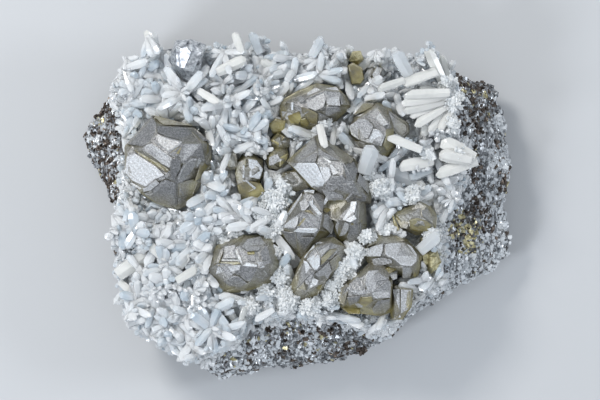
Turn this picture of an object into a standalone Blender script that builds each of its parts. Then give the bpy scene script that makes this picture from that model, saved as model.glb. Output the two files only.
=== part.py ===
"""Cleiophane specimen: pale zinc blende crystals standing in a druse of quartz points, on a slab of
broken sulphide rock. It lies on its back, with the crystals up. Z is up, X runs along the slab's
length, and the origin is on the surface that it rests on, under the middle of the slab.

Sizes are written in millimetres and turned into metres as each shape is made.
"""

import math
import random

import bmesh
import bpy
from mathutils import Matrix, Vector, noise

MM = 0.001
GAP = 0.35  # clearance between neighbouring pieces

# The broken slab, seen from above, counter-clockwise from its right side.
SLAB_OUTLINE = [
    (52.5, 0), (54.5, 9.5), (53, 19), (50, 29), (46.5, 32.5), (40, 34), (33, 36.5), (22, 37),
    (11, 37.5), (0, 37.5), (-12, 38.5), (-23, 38.5), (-36, 38.5), (-43, 35), (-48.5, 28),
    (-52, 24), (-55, 17.5), (-53, 12), (-49, 6), (-46, 0.5), (-44.5, -9.5), (-43.5, -21),
    (-40, -30.5), (-33, -34.5), (-27, -37), (-21.5, -43.5), (-15.5, -43.5), (-9, -41),
    (1, -40.5), (12, -38.5), (19.5, -35.5), (25, -32), (31, -26), (38, -22), (46, -17.5),
    (52, -14), (53, -7),
]
# The quartz crust that fills a shallow bowl in the slab's upper side.
CRUST_OUTLINE = [
    (37, -2), (41, 3), (42, 9), (41, 14), (39.5, 20.5), (40, 27), (40, 32), (37, 36), (31, 37.5),
    (22, 38), (11, 38.5), (0, 38.5), (-12, 39.5), (-23, 39.5), (-37, 39.5), (-44, 35.5),
    (-46.5, 30), (-46, 25), (-43.5, 20.5), (-43.5, 14), (-44.5, 7), (-45.5, 0.5), (-45.5, -9.5),
    (-44.5, -21), (-41, -31), (-33.5, -35), (-27, -37.5), (-22, -39), (-19, -34.5), (-13, -31),
    (-7, -28), (-2, -27.5), (6, -28.5), (12, -29.5), (19, -31.5), (25, -30.5), (29.5, -24),
    (36, -19.5), (37.5, -14), (36, -8),
]
COLUMNS = 60  # points around the slab and the crust

# Rows of the slab's rough side: how far out from the bowl's lip to the widest line, how far down
# between them, and how rough.
FLANK_ROWS = [(0.2, 0.06, 1.6), (0.4, 0.2, 2.6), (0.62, 0.42, 3.0), (0.82, 0.68, 3.2), (1, 1, 2.4)]
SLAB_RIM = 9.0  # height of the slab's widest line
# Rows below the widest line: share of the slab's reach, height, and how rough.
BASE_ROWS = [(0.985, 5.5, 3.4), (0.93, 2.4, 4.0), (0.86, 0, 4.0)]

BOWL_FLOOR = 16.5
BOWL_WALL = 0.86  # where the bowl's wall starts, as a share of the crust's reach
CRUST_CROWN = 28.0
CRUST_FALL = 7.0  # how much lower the crust lies at its rim
CRUST_EDGE = 1.4  # thickness of the crust at its rim
CRUST_ROWS = [0, 0.16, 0.32, 0.46, 0.6, 0.72, 0.83, 0.92, 0.99]  # shares of the crust's reach
CRUST_LUMPS = [(13, 1.8), (5, 1.0)]  # size and height

COLOURS = {
    "sulphide_rock": ((0.21, 0.20, 0.20), 0.45, 0.5),
    "quartz": ((0.74, 0.78, 0.82), 0.25, 0.0),
    "cleiophane": ((0.36, 0.33, 0.27), 0.28, 0.0),
    "galena": ((0.55, 0.57, 0.60), 0.22, 1.0),
    "chalcopyrite": ((0.55, 0.44, 0.16), 0.3, 1.0),
}

# Crystals: a material and one or more blocks that grew together. A block has the corners (x, y, z)
# of its widest line and those of the facets above it. It narrows to a foot below the widest line.
FOOT_DEPTH = 4.5
FOOT_SHARE = 0.8
CRYSTALS = {
    "cleiophane_left_large": ("cleiophane", [
        (
            [(-35.7, 23, 30), (-25.5, 19.8, 30), (-21.6, 16.2, 31), (-21.5, 10.5, 30),
             (-24.2, 6.2, 29), (-27, 0.8, 28.5), (-30.2, -0.5, 28.5), (-35.5, 1, 29),
             (-39.3, 3.6, 29.5), (-43, 8.6, 30), (-43.1, 15.2, 31)],
            [(-42.2, 13.6, 33.8), (-32.6, 7.4, 36), (-37.6, 5, 33.6), (-42.4, 9, 32.6),
             (-30, 13, 37), (-25.6, 12, 35.4), (-29.4, 5, 34.2)],
        ),
        (
            [(-35.7, 22.4, 32), (-26.4, 19, 33), (-22.6, 16.1, 33.6), (-22.8, 11.6, 32.6),
             (-26, 7.6, 32), (-30.4, 6.4, 33), (-32.2, 8.3, 33), (-41.6, 14.1, 33)],
            [(-34.8, 18.2, 37.8), (-28.2, 16, 38.8), (-31.9, 13.2, 39.2), (-38.4, 14.5, 37),
             (-31.4, 9.8, 38), (-28.6, 11, 38.2), (-24, 15.8, 36.6)],
        ),
    ]),
    "cleiophane_small_left": ("cleiophane", [
        (
            [(-12.5, 14.3, 28), (-8.8, 11.8, 29), (-8.5, 8.7, 29), (-10.2, 5.2, 28), (-13, 3.8, 28),
             (-15.2, 6.8, 29), (-15.5, 11, 29)],
            [(-12.4, 12.4, 32.6), (-9.8, 9.6, 33.2), (-12.6, 6.2, 32), (-14.2, 9.4, 32.8)],
        ),
    ]),
    "cleiophane_small_pair": ("cleiophane", [
        (
            [(-5, 19.3, 28.5), (-2, 17.5, 29), (-2.2, 15, 29), (-5.2, 14.2, 29), (-7.5, 16, 28.5)],
            [(-4.6, 17.6, 32.4), (-4, 15.6, 32)],
        ),
        (
            [(-7.2, 14.4, 29), (-2.8, 15.2, 29), (-1.8, 11.8, 29), (-3.8, 9.2, 28.5),
             (-7.2, 9.8, 28.5), (-8.2, 12.2, 29)],
            [(-5.6, 13.4, 32.8), (-3.6, 11.8, 33), (-6, 10.8, 32)],
        ),
    ]),
    "cleiophane_upper_middle": ("cleiophane", [
        (
            [(-4.5, 26.5, 29), (-0.2, 29.2, 29), (4.5, 31, 29.5), (9.8, 30.2, 30), (12.2, 27.8, 30),
             (13.2, 25, 29.5), (9.5, 21.5, 28.5), (5.5, 19.2, 28), (-1.8, 20, 28), (-4.2, 21.8, 28.5)],
            [(2.8, 27.5, 34.6), (6.8, 29, 34.8), (10.5, 28.6, 34), (10.5, 25.2, 35), (7, 24.2, 35.6),
             (2.8, 23.8, 34.8), (-1.8, 25.8, 33)],
        ),
    ]),
    "cleiophane_upper_right": ("cleiophane", [
        (
            [(12.5, 18.8, 29), (15, 15.5, 28.5), (18.2, 13.8, 28.5), (21.8, 11.8, 28), (24.2, 14.2, 28),
             (24.8, 20.5, 29), (23.4, 25, 29.5), (19.8, 26.2, 30), (17.2, 24.8, 29.5), (13.8, 22.5, 29.5)],
            [(14.8, 21.8, 33.2), (17.2, 22.5, 34.2), (21.5, 17.8, 35.2), (20.2, 15.2, 34),
             (15.5, 16.8, 33), (22.8, 20.8, 34.8), (19.5, 25, 33.4)],
        ),
    ]),
    "cleiophane_centre_cluster": ("cleiophane", [
        (
            [(5, 18.3, 31), (-2.9, 11.6, 31), (-1.1, 9.7, 32), (3.6, 4.4, 31), (8.2, 1.6, 31),
             (12, 0.4, 30.5), (18.2, 1, 30), (18.7, 6.5, 30.5), (14, 12.2, 31.5)],
            [(0.2, 10.9, 35.2), (4.8, 10.9, 38), (6.9, 5.9, 37.4), (3.9, 4.9, 34.8), (-0.9, 9.8, 33.6),
             (5.2, 13.8, 37.2), (11.5, 10.8, 38.4), (11.2, 7.5, 39.2), (13.8, 6.2, 38.6),
             (15.8, 2.8, 35.2)],
        ),
        (
            [(1.7, 4.3, 31), (-1.8, 0.5, 30.5), (-5.1, -5.3, 30), (-3.5, -8.2, 29), (1, -13.2, 28.5),
             (5.2, -8.2, 29.5), (8.2, -6.2, 30), (9, -0.5, 31), (7, 4.6, 31)],
            [(1.8, 3.5, 34.2), (3.5, 3, 35.2), (-4.3, -5.1, 32.4), (-0.5, -5.4, 36.2),
             (5.2, -5.5, 36.6), (6.2, -1.5, 37), (0.8, -1.2, 36.6)],
        ),
        (
            [(11, 2.6, 31), (13.8, 3.4, 31), (16.8, 1.6, 31), (17.2, -4.5, 30), (16, -10.3, 28.5),
             (13.2, -9.8, 29), (10, -8.2, 29), (8.4, -3.8, 30)],
            [(13.8, 1.2, 35.4), (15, 1, 35.6), (14.2, -1.8, 37.2), (14.8, -3.8, 36.4),
             (12, -3.2, 36.8), (10.2, -2.4, 35.4)],
        ),
        (
            [(-4.5, 7.5, 30.5), (-3.5, 8.8, 30.5), (0.6, 9.6, 31), (4.2, 5.6, 31), (-0.2, 4.1, 30.5),
             (-4, 5, 30)],
            [(-3.2, 7.9, 33.2), (-1, 6.6, 33)],
        ),
        (
            [(5.2, -7.7, 31), (9, -7.4, 31), (12.5, -10, 30.5), (12, -11.8, 30), (9.2, -16.5, 29.5),
             (7.2, -19.3, 29), (4, -22.7, 28.5), (1.1, -23.4, 28), (-2, -22.7, 28), (-2.2, -19.8, 29),
             (-0.6, -16.5, 30), (1.1, -12.4, 31)],
            [(1.4, -13.8, 34.2), (4.2, -10.2, 35.4), (5.9, -12.6, 37), (4.2, -15.8, 37),
             (2.3, -21, 33.4), (-0.3, -20.3, 32.2), (8.8, -15.6, 33.4), (8.5, -8.8, 34.2),
             (6.9, -18.4, 32)],
        ),
    ]),
    "cleiophane_lower_left": ("cleiophane", [
        (
            [(-22.8, -15.5, 30), (-21.4, -17.9, 29), (-18.5, -21, 28.5), (-13.8, -21.2, 28),
             (-10.9, -20, 28.5), (-6.6, -18.9, 29), (-4.4, -15, 29.5), (-6.6, -7.1, 30),
             (-10.1, -6.7, 30), (-13.2, -6.9, 30.5), (-18.2, -9, 30), (-20.4, -9.8, 30)],
            [(-18.8, -10.2, 34), (-14.8, -9.8, 35.6), (-13.5, -14.5, 37), (-19.8, -13.8, 34.4),
             (-9.8, -14.8, 37), (-11.8, -18.5, 34), (-8, -9.5, 35), (-6.8, -13.8, 34.6),
             (-18, -18.2, 32.8)],
        ),
    ]),
    "cleiophane_lower_right_group": ("cleiophane", [
        (
            [(9.9, -23.5, 29), (11.4, -26, 27.5), (17.5, -27, 27), (21.5, -27.2, 27), (23.4, -26, 27),
             (23.8, -19.8, 30), (23.4, -15, 31), (21.4, -13.4, 31), (18, -13.6, 31),
             (14.5, -16.5, 31), (10.5, -20, 30)],
            [(17, -16.6, 35.2), (19.8, -15.9, 35), (22.6, -17.8, 34.6), (23, -21.8, 33.4),
             (19.9, -22.7, 34.4), (17, -19, 36), (18.2, -21.2, 35.8), (15, -21.8, 34.4),
             (10.8, -23.4, 31), (12, -19.8, 33.4)],
        ),
        (
            [(15.9, -11.5, 30), (17.6, -14, 30), (22, -14.6, 30), (26, -15.4, 30), (28.4, -17.7, 28),
             (29.8, -17.5, 27.5), (30.7, -14.6, 28.5), (31, -11.7, 29), (29, -9.9, 29.5),
             (27.3, -8.2, 30), (23.2, -6.3, 30), (19.9, -6.1, 30), (17.6, -8.6, 30)],
            [(21, -9, 34.6), (26.8, -8.9, 33.4), (30, -12.3, 32.2), (28.2, -14.6, 33.8),
             (25.9, -14.8, 34.6), (23.5, -12.8, 35.6), (21, -11.8, 35.4), (16.8, -11.2, 32)],
        ),
        (
            [(23.4, -19, 28), (28.8, -20.5, 28), (28.5, -24.5, 27), (26.2, -28, 26), (23.2, -28.2, 26)],
            [(24.4, -19.5, 30.4), (28, -20.8, 30), (27.8, -24.2, 29.4), (24.2, -27.6, 28.6)],
        ),
    ]),
    "cleiophane_right": ("cleiophane", [
        (
            [(23.7, -1.5, 30), (25.7, -5.2, 29), (29.5, -7, 28.5), (34.4, -6.1, 28.5), (34.6, -2, 29),
             (32.7, 0.5, 29.5), (30.4, 1.6, 30), (27.5, -0.8, 30)],
            [(24.8, -1.8, 31.6), (28.2, -1.5, 33.6), (30.8, 0, 33), (33.2, -2.2, 32.4), (30.2, -4, 33.8),
             (26.6, -5, 31.6)],
        ),
    ]),
    "galena_crystal": ("galena", [
        (
            [(-31.5, 39.8, 29), (-32.4, 37, 29), (-30.2, 34, 28), (-28.6, 31.4, 27), (-26.6, 30.6, 27),
             (-24.2, 33, 28), (-23.2, 38, 29), (-23, 40.6, 29), (-26.8, 42, 29), (-30.6, 41.6, 29)],
            [(-30.2, 39.8, 34), (-23.8, 38.8, 33.6), (-29.2, 34.8, 32.4), (-26.8, 40.8, 33.4),
             (-26.2, 33.6, 31)],
        ),
    ]),
    "chalcopyrite_top": ("chalcopyrite", [
        (
            [(16.4, 37, 26.5), (15.6, 39.2, 26.5), (13.6, 39, 26.5), (12.8, 36.8, 26.5), (15, 35.8, 26.5)],
            [(14.2, 38, 29), (15.2, 37, 28.6)],
        ),
    ]),
    "chalcopyrite_right": ("chalcopyrite", [
        (
            [(36, -13.6, 25), (35, -11, 25.5), (32.4, -11.2, 26), (32, -14.8, 25.5), (33.4, -16.6, 25)],
            [(33, -12.2, 29.4), (34.8, -12.2, 28.6), (33.4, -15, 28.6)],
        ),
    ]),
}

# Quartz points placed one by one: foot (x, y), tip (x, y, z) and width.
QUARTZ_POINTS = [
    (-34.8, 37.4, -36.2, 44.2, 27, 2.2), (-20, 35.6, -13.8, 42.5, 30, 2.3),
    (-8.4, 38, -11.8, 43, 27, 2.1), (-20, 33.4, -12.6, 36.4, 31.5, 2.9),
    (3.8, 36.4, 5.8, 41.4, 28, 2.4), (21.6, 34.6, 22, 40.2, 28.5, 3.8), (19.5, 28.6, 26, 31.4, 33, 2.6),
    (9.2, 15.2, 11, 20.6, 34, 2.3), (34, 34, 32, 39.9, 30, 2.8), (32.8, 34.6, 26.2, 30.2, 32, 3.4),
    (38.4, 26.6, 25.8, 27.7, 33, 2.7), (38.2, 25.8, 26, 24.8, 31.6, 2.7), (38, 25, 29.4, 19.8, 31, 2.6),
    (38, 24.6, 32.6, 17.6, 30, 2.5), (38.4, 24.6, 36.2, 18.6, 30, 2.5), (38.6, 28, 29.6, 31.4, 31, 2.6),
    (29.4, 15.6, 22.9, 17.8, 33, 2.7), (35.2, 13.8, 44.2, 11.8, 27.6, 4.4),
    (35.4, 8, 42.6, 11, 26, 3.4), (18.8, 8.6, 17.4, 15, 34.4, 4.8), (34.8, -11.4, 32.6, -7.6, 31, 3.8),
    (31.8, 34, 30.2, 37.4, 30, 2), (37.2, 33, 39.4, 37, 27, 2.2), (36.6, 36, 37.2, 39.4, 25, 1.9),
    (-41, 33.6, -44, 38.2, 26.6, 2.2), (-43.4, 30, -47.2, 31.6, 25, 2.1),
    (-27.4, 37.4, -25, 43.6, 27, 2), (9, 36, 8, 40.6, 27.6, 2.1), (13.4, 36, 12, 40.6, 26.4, 1.8),
    (-15, 28.6, -22, 29.4, 32, 2.9), (-10.4, 24.6, -17, 21, 32, 2.5), (-4, 31.4, -9.4, 28.4, 33, 2.5),
    (-41.6, -12.4, -36.6, -8.6, 30.4, 3.4), (-42.6, -20, -46.6, -24.6, 23, 2.2),
    (-39.6, -17, -36, -23, 27.6, 2.8), (-19.6, -27.6, -23, -32.4, 27, 2.2),
    (-36, -28.4, -37.4, -33.6, 25, 2.5), (-24, 1.6, -19, 6, 32, 2.2),
    (-27, 27.4, -33.6, 29.6, 31.6, 2.6), (-44, 5, -41, -1.6, 29, 2.4),
]
# More points between those, strewn evenly: slender ones, and stubby ones in the lower left part.
# Each kind has its range of leans from upright in degrees, lengths and widths.
STREWN_POINTS = 84
STREWN_SEED = 11
SLENDER = [(30, 66), (7, 10.5), (1.9, 2.8)]
STUBBY = [(18, 52), (6, 8.5), (2.4, 3.4)]
STUBBY_RIGHT, STUBBY_TOP = -12, 2
POINT_SPACING = 3.9
POINT_CLEARANCE = 1.0  # between a strewn point's foot and a large crystal
POINT_SUNK = 1.5  # how deep a point's foot is in the crust


def rim_point(outline, angle):
    """Where the ray from the origin at this angle crosses the outline."""
    far = Vector((math.cos(angle), math.sin(angle))) * 200
    for index, corner in enumerate(outline):
        a, b = Vector(corner), Vector(outline[(index + 1) % len(outline)])
        edge = b - a
        cross = far.x * edge.y - far.y * edge.x
        if abs(cross) < 1e-9:
            continue
        along = (a.x * edge.y - a.y * edge.x) / cross
        beside = (a.x * far.y - a.y * far.x) / cross
        if along > 0 and -1e-6 <= beside <= 1 + 1e-6:
            return far * along
    raise ValueError("the outline doesn't go round the origin")


def reach_of(outline, x, y):
    """How far out (x, y) lies between the origin, 0, and the outline, 1."""
    return math.hypot(x, y) / rim_point(outline, math.atan2(y, x)).length


def lumps(x, y, z, size, height):
    """Smooth lumps of this size and height, in mm."""
    return height * noise.noise(Vector((x / size, y / size, z / size)))


def crust_height(x, y):
    """Top of the quartz crust: a low dome that falls away towards its rim, with lumps."""
    dome = CRUST_CROWN - CRUST_FALL * reach_of(CRUST_OUTLINE, x, y) ** 3
    return dome + sum(lumps(x, y, size, size, height) for size, height in CRUST_LUMPS)


def clear_scene():
    for obj in list(bpy.data.objects):
        bpy.data.objects.remove(obj)


def new_collection(name):
    made = bpy.data.collections.new(name)
    bpy.context.scene.collection.children.link(made)
    return made


def make_materials():
    made = {}
    for name, (colour, roughness, metallic) in COLOURS.items():
        material = bpy.data.materials.new(name)
        material.use_nodes = True
        shader = material.node_tree.nodes["Principled BSDF"]
        shader.inputs["Base Color"].default_value = (*colour, 1)
        shader.inputs["Roughness"].default_value = roughness
        shader.inputs["Metallic"].default_value = metallic
        material.diffuse_color = (*colour, 1)
        made[name] = material
    return made


def add_object(name, bm, collection, material=None):
    """The bmesh, in mm, as a new object in metres. One with no material is a hidden helper."""
    bmesh.ops.scale(bm, vec=(MM, MM, MM), verts=bm.verts)
    mesh = bpy.data.meshes.new(name)
    bm.to_mesh(mesh)
    bm.free()
    obj = bpy.data.objects.new(name, mesh)
    collection.objects.link(obj)
    if material:
        mesh.materials.append(material)
    else:
        obj.hide_render = True
        obj.display_type = "WIRE"
    return obj


def apply_boolean(obj, operation, others):
    """Joins or cuts obj with all the objects of a collection, and leaves the result as its mesh."""
    modifier = obj.modifiers.new(operation.title(), "BOOLEAN")
    modifier.operation = operation
    modifier.operand_type = "COLLECTION"
    modifier.collection = others
    modifier.use_self = operation == "UNION"
    bpy.context.view_layer.update()
    evaluated = obj.evaluated_get(bpy.context.evaluated_depsgraph_get())
    mesh = bpy.data.meshes.new_from_object(evaluated)
    obj.modifiers.remove(modifier)
    obj.data = mesh


def keep_largest_body(obj):
    """Drops the crumbs that a cut leaves beside the main body."""
    bm = bmesh.new()
    bm.from_mesh(obj.data)
    unseen = set(bm.verts)
    bodies = []
    while unseen:
        front = [unseen.pop()]
        body = set(front)
        while front:
            vertex = front.pop()
            for edge in vertex.link_edges:
                other = edge.other_vert(vertex)
                if other in unseen:
                    unseen.discard(other)
                    body.add(other)
                    front.append(other)
        bodies.append(body)
    bodies.sort(key=len)
    crumbs = [vertex for body in bodies[:-1] for vertex in body]
    bmesh.ops.delete(bm, geom=crumbs, context="VERTS")
    bm.to_mesh(obj.data)
    bm.free()


def ball_body(rows):
    """A ball whose rows of points are moved one by one. Each row is a function that gives the place
    for an angle about Z, from the top pole down to the bottom pole."""
    bm = bmesh.new()
    bmesh.ops.create_uvsphere(bm, u_segments=COLUMNS, v_segments=len(rows) - 1, radius=1)
    for vertex in bm.verts:
        from_top = 0.5 - math.asin(max(-1, min(1, vertex.co.z))) / math.pi
        row = rows[round(from_top * (len(rows) - 1))]
        vertex.co = row(math.atan2(vertex.co.y, vertex.co.x))
    return bm


def crust_row(reach, height=None, drop=0.0):
    """A row of the crust at this share of its reach: at a fixed height, or on its top."""

    def place(angle):
        x, y = rim_point(CRUST_OUTLINE, angle) * reach
        return Vector((x, y, (crust_height(x, y) if height is None else height) - drop))

    return place


def flank_row(out, height, rough):
    """A row of the slab's rough side, between the bowl's lip, 0 out, and the widest line, 1 out."""

    def place(angle):
        lip = rim_point(CRUST_OUTLINE, angle)
        widest = rim_point(SLAB_OUTLINE, angle)
        x, y = lip.lerp(widest, out)
        lip_height = crust_height(*lip) - CRUST_EDGE - 2 * GAP
        z = lip_height + (SLAB_RIM - lip_height) * height
        away = 1 + (lumps(x, y, z, 8, rough) + lumps(x, y, z + 30, 3.5, rough * 0.5)) / 60
        up = lumps(x, y, z + 60, 7, rough) + lumps(x, y, z + 90, 3, rough * 0.6)
        return Vector((x * away, y * away, z + up))

    return place


def base_row(reach, height, rough):
    def place(angle):
        x, y = rim_point(SLAB_OUTLINE, angle) * reach
        away = 1 + lumps(x, y, height, 6, rough) / 60
        return Vector((x * away, y * away, height))

    return place


def make_slab(name, collection, material=None):
    """The rock: a bowl for the crust on top, rough flanks, and a flat broken base."""
    rows = [crust_row(0, BOWL_FLOOR, 2 * GAP), crust_row(BOWL_WALL, BOWL_FLOOR, 2 * GAP)]
    rows.append(crust_row(1, drop=CRUST_EDGE + 2 * GAP))
    rows += [flank_row(*row) for row in FLANK_ROWS]
    rows += [base_row(*row) for row in BASE_ROWS]
    rows.append(base_row(0, 0, 0))
    return add_object(name, ball_body(rows), collection, material)


def crust_body():
    """The crust under the quartz points: lumpy above, its underside shaped to the bowl."""
    rows = [crust_row(reach) for reach in CRUST_ROWS]
    rows.append(crust_row(1, drop=CRUST_EDGE))
    rows += [crust_row(BOWL_WALL, BOWL_FLOOR), crust_row(0, BOWL_FLOOR)]
    return ball_body(rows)


def quartz_point(foot, tip, width):
    """One six-sided quartz point between foot and tip."""
    bm = bmesh.new()
    axis = tip - foot
    peak = width * 0.75
    shaft = axis.length - peak
    bmesh.ops.create_cone(
        bm, cap_ends=True, segments=6, radius1=width * 0.54, radius2=width * 0.44, depth=shaft
    )
    end = max(bm.faces, key=lambda face: face.calc_center_median().z)
    bmesh.ops.poke(bm, faces=[end], offset=peak)
    turn = axis.to_track_quat("Z", "Y").to_matrix().to_4x4()
    middle = foot + axis.normalized() * (shaft / 2)
    bmesh.ops.transform(bm, matrix=Matrix.Translation(middle) @ turn, verts=bm.verts)
    return bm


def placed_points():
    """The points placed one by one, each with its foot sunk in the crust."""
    for x, y, tip_x, tip_y, tip_z, width in QUARTZ_POINTS:
        yield Vector((x, y, crust_height(x, y) - POINT_SUNK)), Vector((tip_x, tip_y, tip_z)), width


def beside_crystals(spot):
    """Whether the spot is clear of every large crystal, so that a quartz point can grow there."""
    for _, blocks in CRYSTALS.values():
        for rim, _ in blocks:
            corners = [Vector(corner[:2]) for corner in rim]
            centre = sum(corners, Vector((0, 0))) / len(corners)
            outline = [corner - centre for corner in corners]
            away = spot - centre
            edge = rim_point(outline, math.atan2(away.y, away.x))
            if away.length < edge.length + POINT_CLEARANCE:
                return False
    return True


def strewn_points():
    """Points that fill the crust evenly, clear of the large crystals and of each other."""
    rng = random.Random(STREWN_SEED)
    taken = [Vector(point[:2]) for point in QUARTZ_POINTS]
    left = STREWN_POINTS
    while left:
        x, y = rng.uniform(-47, 43), rng.uniform(-40, 41)
        spot = Vector((x, y))
        if reach_of(CRUST_OUTLINE, x, y) > 0.96 or not beside_crystals(spot):
            continue
        if any((spot - other).length < POINT_SPACING for other in taken):
            continue
        kind = STUBBY if x < STUBBY_RIGHT and y < STUBBY_TOP else SLENDER
        lean, length, width = (rng.uniform(*limits) for limits in kind)
        upright = Vector((0, 0, length))
        tilt = Matrix.Rotation(math.radians(lean), 3, "X")
        turn = Matrix.Rotation(rng.uniform(0, math.tau), 3, "Z")
        foot = Vector((x, y, crust_height(x, y) - POINT_SUNK))
        yield foot, foot + turn @ tilt @ upright, width
        taken.append(spot)
        left -= 1


def crystal_block(rim, crown, grow=0.0):
    """One flat-faced crystal: the hull of its rim, the corners of its facets and its foot, with
    near-flat corners evened out. grow moves every face outwards."""
    centre = sum((Vector(corner) for corner in rim), Vector()) / len(rim)
    foot_height = min(corner[2] for corner in rim) - FOOT_DEPTH
    bm = bmesh.new()
    for corner in rim + crown:
        bm.verts.new(corner)
    for x, y, _ in rim:
        flat = centre.xy.lerp(Vector((x, y)), FOOT_SHARE)
        bm.verts.new((flat.x, flat.y, foot_height))
    hull_only(bm)
    bmesh.ops.dissolve_limit(
        bm, angle_limit=math.radians(9), use_dissolve_boundaries=False, verts=bm.verts, edges=bm.edges
    )
    bmesh.ops.planar_faces(bm, faces=bm.faces, iterations=60, factor=0.5)
    hull_only(bm)
    if grow:
        moved = [(vertex, vertex.normal * vertex.calc_shell_factor() * grow) for vertex in bm.verts]
        for vertex, away in moved:
            vertex.co += away
    return bm


def hull_only(bm):
    """The convex hull of the points, and nothing else."""
    bmesh.ops.delete(bm, geom=bm.faces[:] + bm.edges[:], context="EDGES_FACES")
    made = bmesh.ops.convex_hull(bm, input=bm.verts, use_existing_faces=False)
    loose = {vertex for vertex in made["geom_interior"] + made["geom_unused"] if vertex.is_valid}
    bmesh.ops.delete(bm, geom=[item for item in loose if isinstance(item, bmesh.types.BMVert)])
    bmesh.ops.recalc_face_normals(bm, faces=bm.faces)
    bm.normal_update()


def make_crystal(name, blocks, collection, material, pockets):
    """A crystal of one or more blocks grown together, and the cutters of its pocket."""
    base = add_object(name, crystal_block(*blocks[0]), collection, material)
    if len(blocks) > 1:
        others = new_collection(name + "_blocks")
        for index, block in enumerate(blocks[1:]):
            add_object(f"{name}_block_{index}", crystal_block(*block), others)
        apply_boolean(base, "UNION", others)
        keep_largest_body(base)
    for index, block in enumerate(blocks):
        add_object(f"{name}_pocket_{index}", crystal_block(*block, grow=GAP), pockets)


def centre_in_plan(collection):
    """Moves all the pieces so that the middle of their box is over the origin."""
    points = [vertex.co for obj in collection.objects for vertex in obj.data.vertices]
    middle = [(min(p[axis] for p in points) + max(p[axis] for p in points)) / 2 for axis in (0, 1)]
    for obj in collection.objects:
        obj.data.transform(Matrix.Translation((-middle[0], -middle[1], 0)))


def main():
    clear_scene()
    materials = make_materials()
    specimen = new_collection("cleiophane_specimen")
    pockets = new_collection("pockets")
    growth = new_collection("quartz_growth")

    for name, (mineral, blocks) in CRYSTALS.items():
        make_crystal(name, blocks, specimen, materials[mineral], pockets)
    make_slab("sulphide_rock", specimen, materials["sulphide_rock"])
    raised_slab = make_slab("raised_slab", pockets)
    raised_slab.data.transform(Matrix.Translation((0, 0, GAP * MM)))

    for index, point in enumerate([*placed_points(), *strewn_points()]):
        add_object(f"quartz_point_{index}", quartz_point(*point), growth)
    druse = add_object("quartz_druse", crust_body(), specimen, materials["quartz"])
    apply_boolean(druse, "UNION", growth)
    apply_boolean(druse, "DIFFERENCE", pockets)
    keep_largest_body(druse)
    centre_in_plan(specimen)


main()
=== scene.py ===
"""How the cleiophane specimen looks: grey-tan sphalerite crystals with honey-brown edges in a druse
of milky quartz points, on a slab of glittering sulphide ore. It lies on its back on a pale floor,
and the camera looks straight down at the crystals.

Sizes are in millimetres where a name doesn't say otherwise, and MM turns them into metres.
"""

import math
import random

import bmesh
import bpy
from mathutils import Matrix, Vector, noise
from mathutils.bvhtree import BVHTree


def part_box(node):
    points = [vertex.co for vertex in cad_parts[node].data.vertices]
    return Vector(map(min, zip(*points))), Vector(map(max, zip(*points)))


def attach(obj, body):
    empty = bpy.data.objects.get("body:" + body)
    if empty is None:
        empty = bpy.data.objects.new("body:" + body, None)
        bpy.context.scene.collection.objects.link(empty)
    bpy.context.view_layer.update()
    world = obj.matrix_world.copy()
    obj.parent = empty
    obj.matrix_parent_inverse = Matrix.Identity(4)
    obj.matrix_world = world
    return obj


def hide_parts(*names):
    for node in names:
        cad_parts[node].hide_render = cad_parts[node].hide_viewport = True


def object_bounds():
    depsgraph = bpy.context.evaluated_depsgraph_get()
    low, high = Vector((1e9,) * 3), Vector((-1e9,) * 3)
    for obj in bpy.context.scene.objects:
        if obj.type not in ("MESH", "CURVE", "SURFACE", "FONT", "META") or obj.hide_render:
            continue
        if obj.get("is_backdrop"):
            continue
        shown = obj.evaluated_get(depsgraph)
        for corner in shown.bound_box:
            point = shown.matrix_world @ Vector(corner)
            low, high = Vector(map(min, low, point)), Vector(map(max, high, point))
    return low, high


MM = 0.001
BODY = "root"
UP = Vector((0, 0, 1))
RAY_TOP = 100.0  # rays that look down start this high, above everything
SHARP = 0.35  # in radians, about 20 degrees

# The view is straight down, at the scale that the specimen's size was worked out from.
FRAME_WIDTH = 150.0
VIEW_CENTRE = (0.75, 1.75)
DRUSE_TOP = 28.0
LENS = 300.0
SENSOR = 36.0

# Quartz points grow in sheaves: spacing of the sheaves, points in each, how far their feet are from
# its middle, and ranges of their height above the crust, of how far the sheaf leans to one side, of
# length, of width, and of each point's own lean in degrees.
SLENDER = dict(
    spacing=4.7, count=(7, 10), spread=0.8, lift=(1.6, 3.2), tilt=(0.1, 0.9), length=(5.6, 9.0),
    width=(1.7, 2.7), lean=(48, 86),
)
STUBBY = dict(
    spacing=4.7, count=(7, 10), spread=0.8, lift=(1.6, 3.2), tilt=(0.1, 0.8), length=(4.8, 7.6),
    width=(1.9, 2.9), lean=(50, 86),
)
FILLING = dict(
    spacing=3.0, count=(8, 11), spread=0.4, lift=(0.2, 1.4), tilt=(0.1, 0.9), length=(3.2, 5.0),
    width=(0.95, 1.5), lean=(42, 85),
)
SHORT = dict(
    spacing=2.8, count=(5, 8), spread=0.9, lift=(-0.3, -0.3), tilt=(0.0, 0.6), length=(1.8, 2.8),
    width=(1.0, 1.8), lean=(10, 80),
)
SUGAR = dict(
    spacing=1.1, count=(9, 13), spread=0.5, lift=(0.0, 0.0), tilt=(0.0, 0.5), length=(0.9, 1.7),
    width=(0.45, 0.85), lean=(5, 85),
)
SHEAF_GROWTH = (0.8, 1.15)  # how long a sheaf's points are beside others of their kind
SHEAF_MILK = 0.55  # the share of its milkiness that a point has in common with its sheaf
RIM_TOP = 24.0  # the crust's rim lies lower than this
SIDE_TOP = 25.0  # and its steep outer sides lower than this
SIDE_LEVEL = 0.4  # the most that the normal of a steep side points up or down
CRUST_TOP = 29.5  # what stands higher in the druse is a large point of the frame
CRUST_LEVEL = 0.3  # the least upward part of the crust's normal where a sheaf stands on its top
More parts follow.
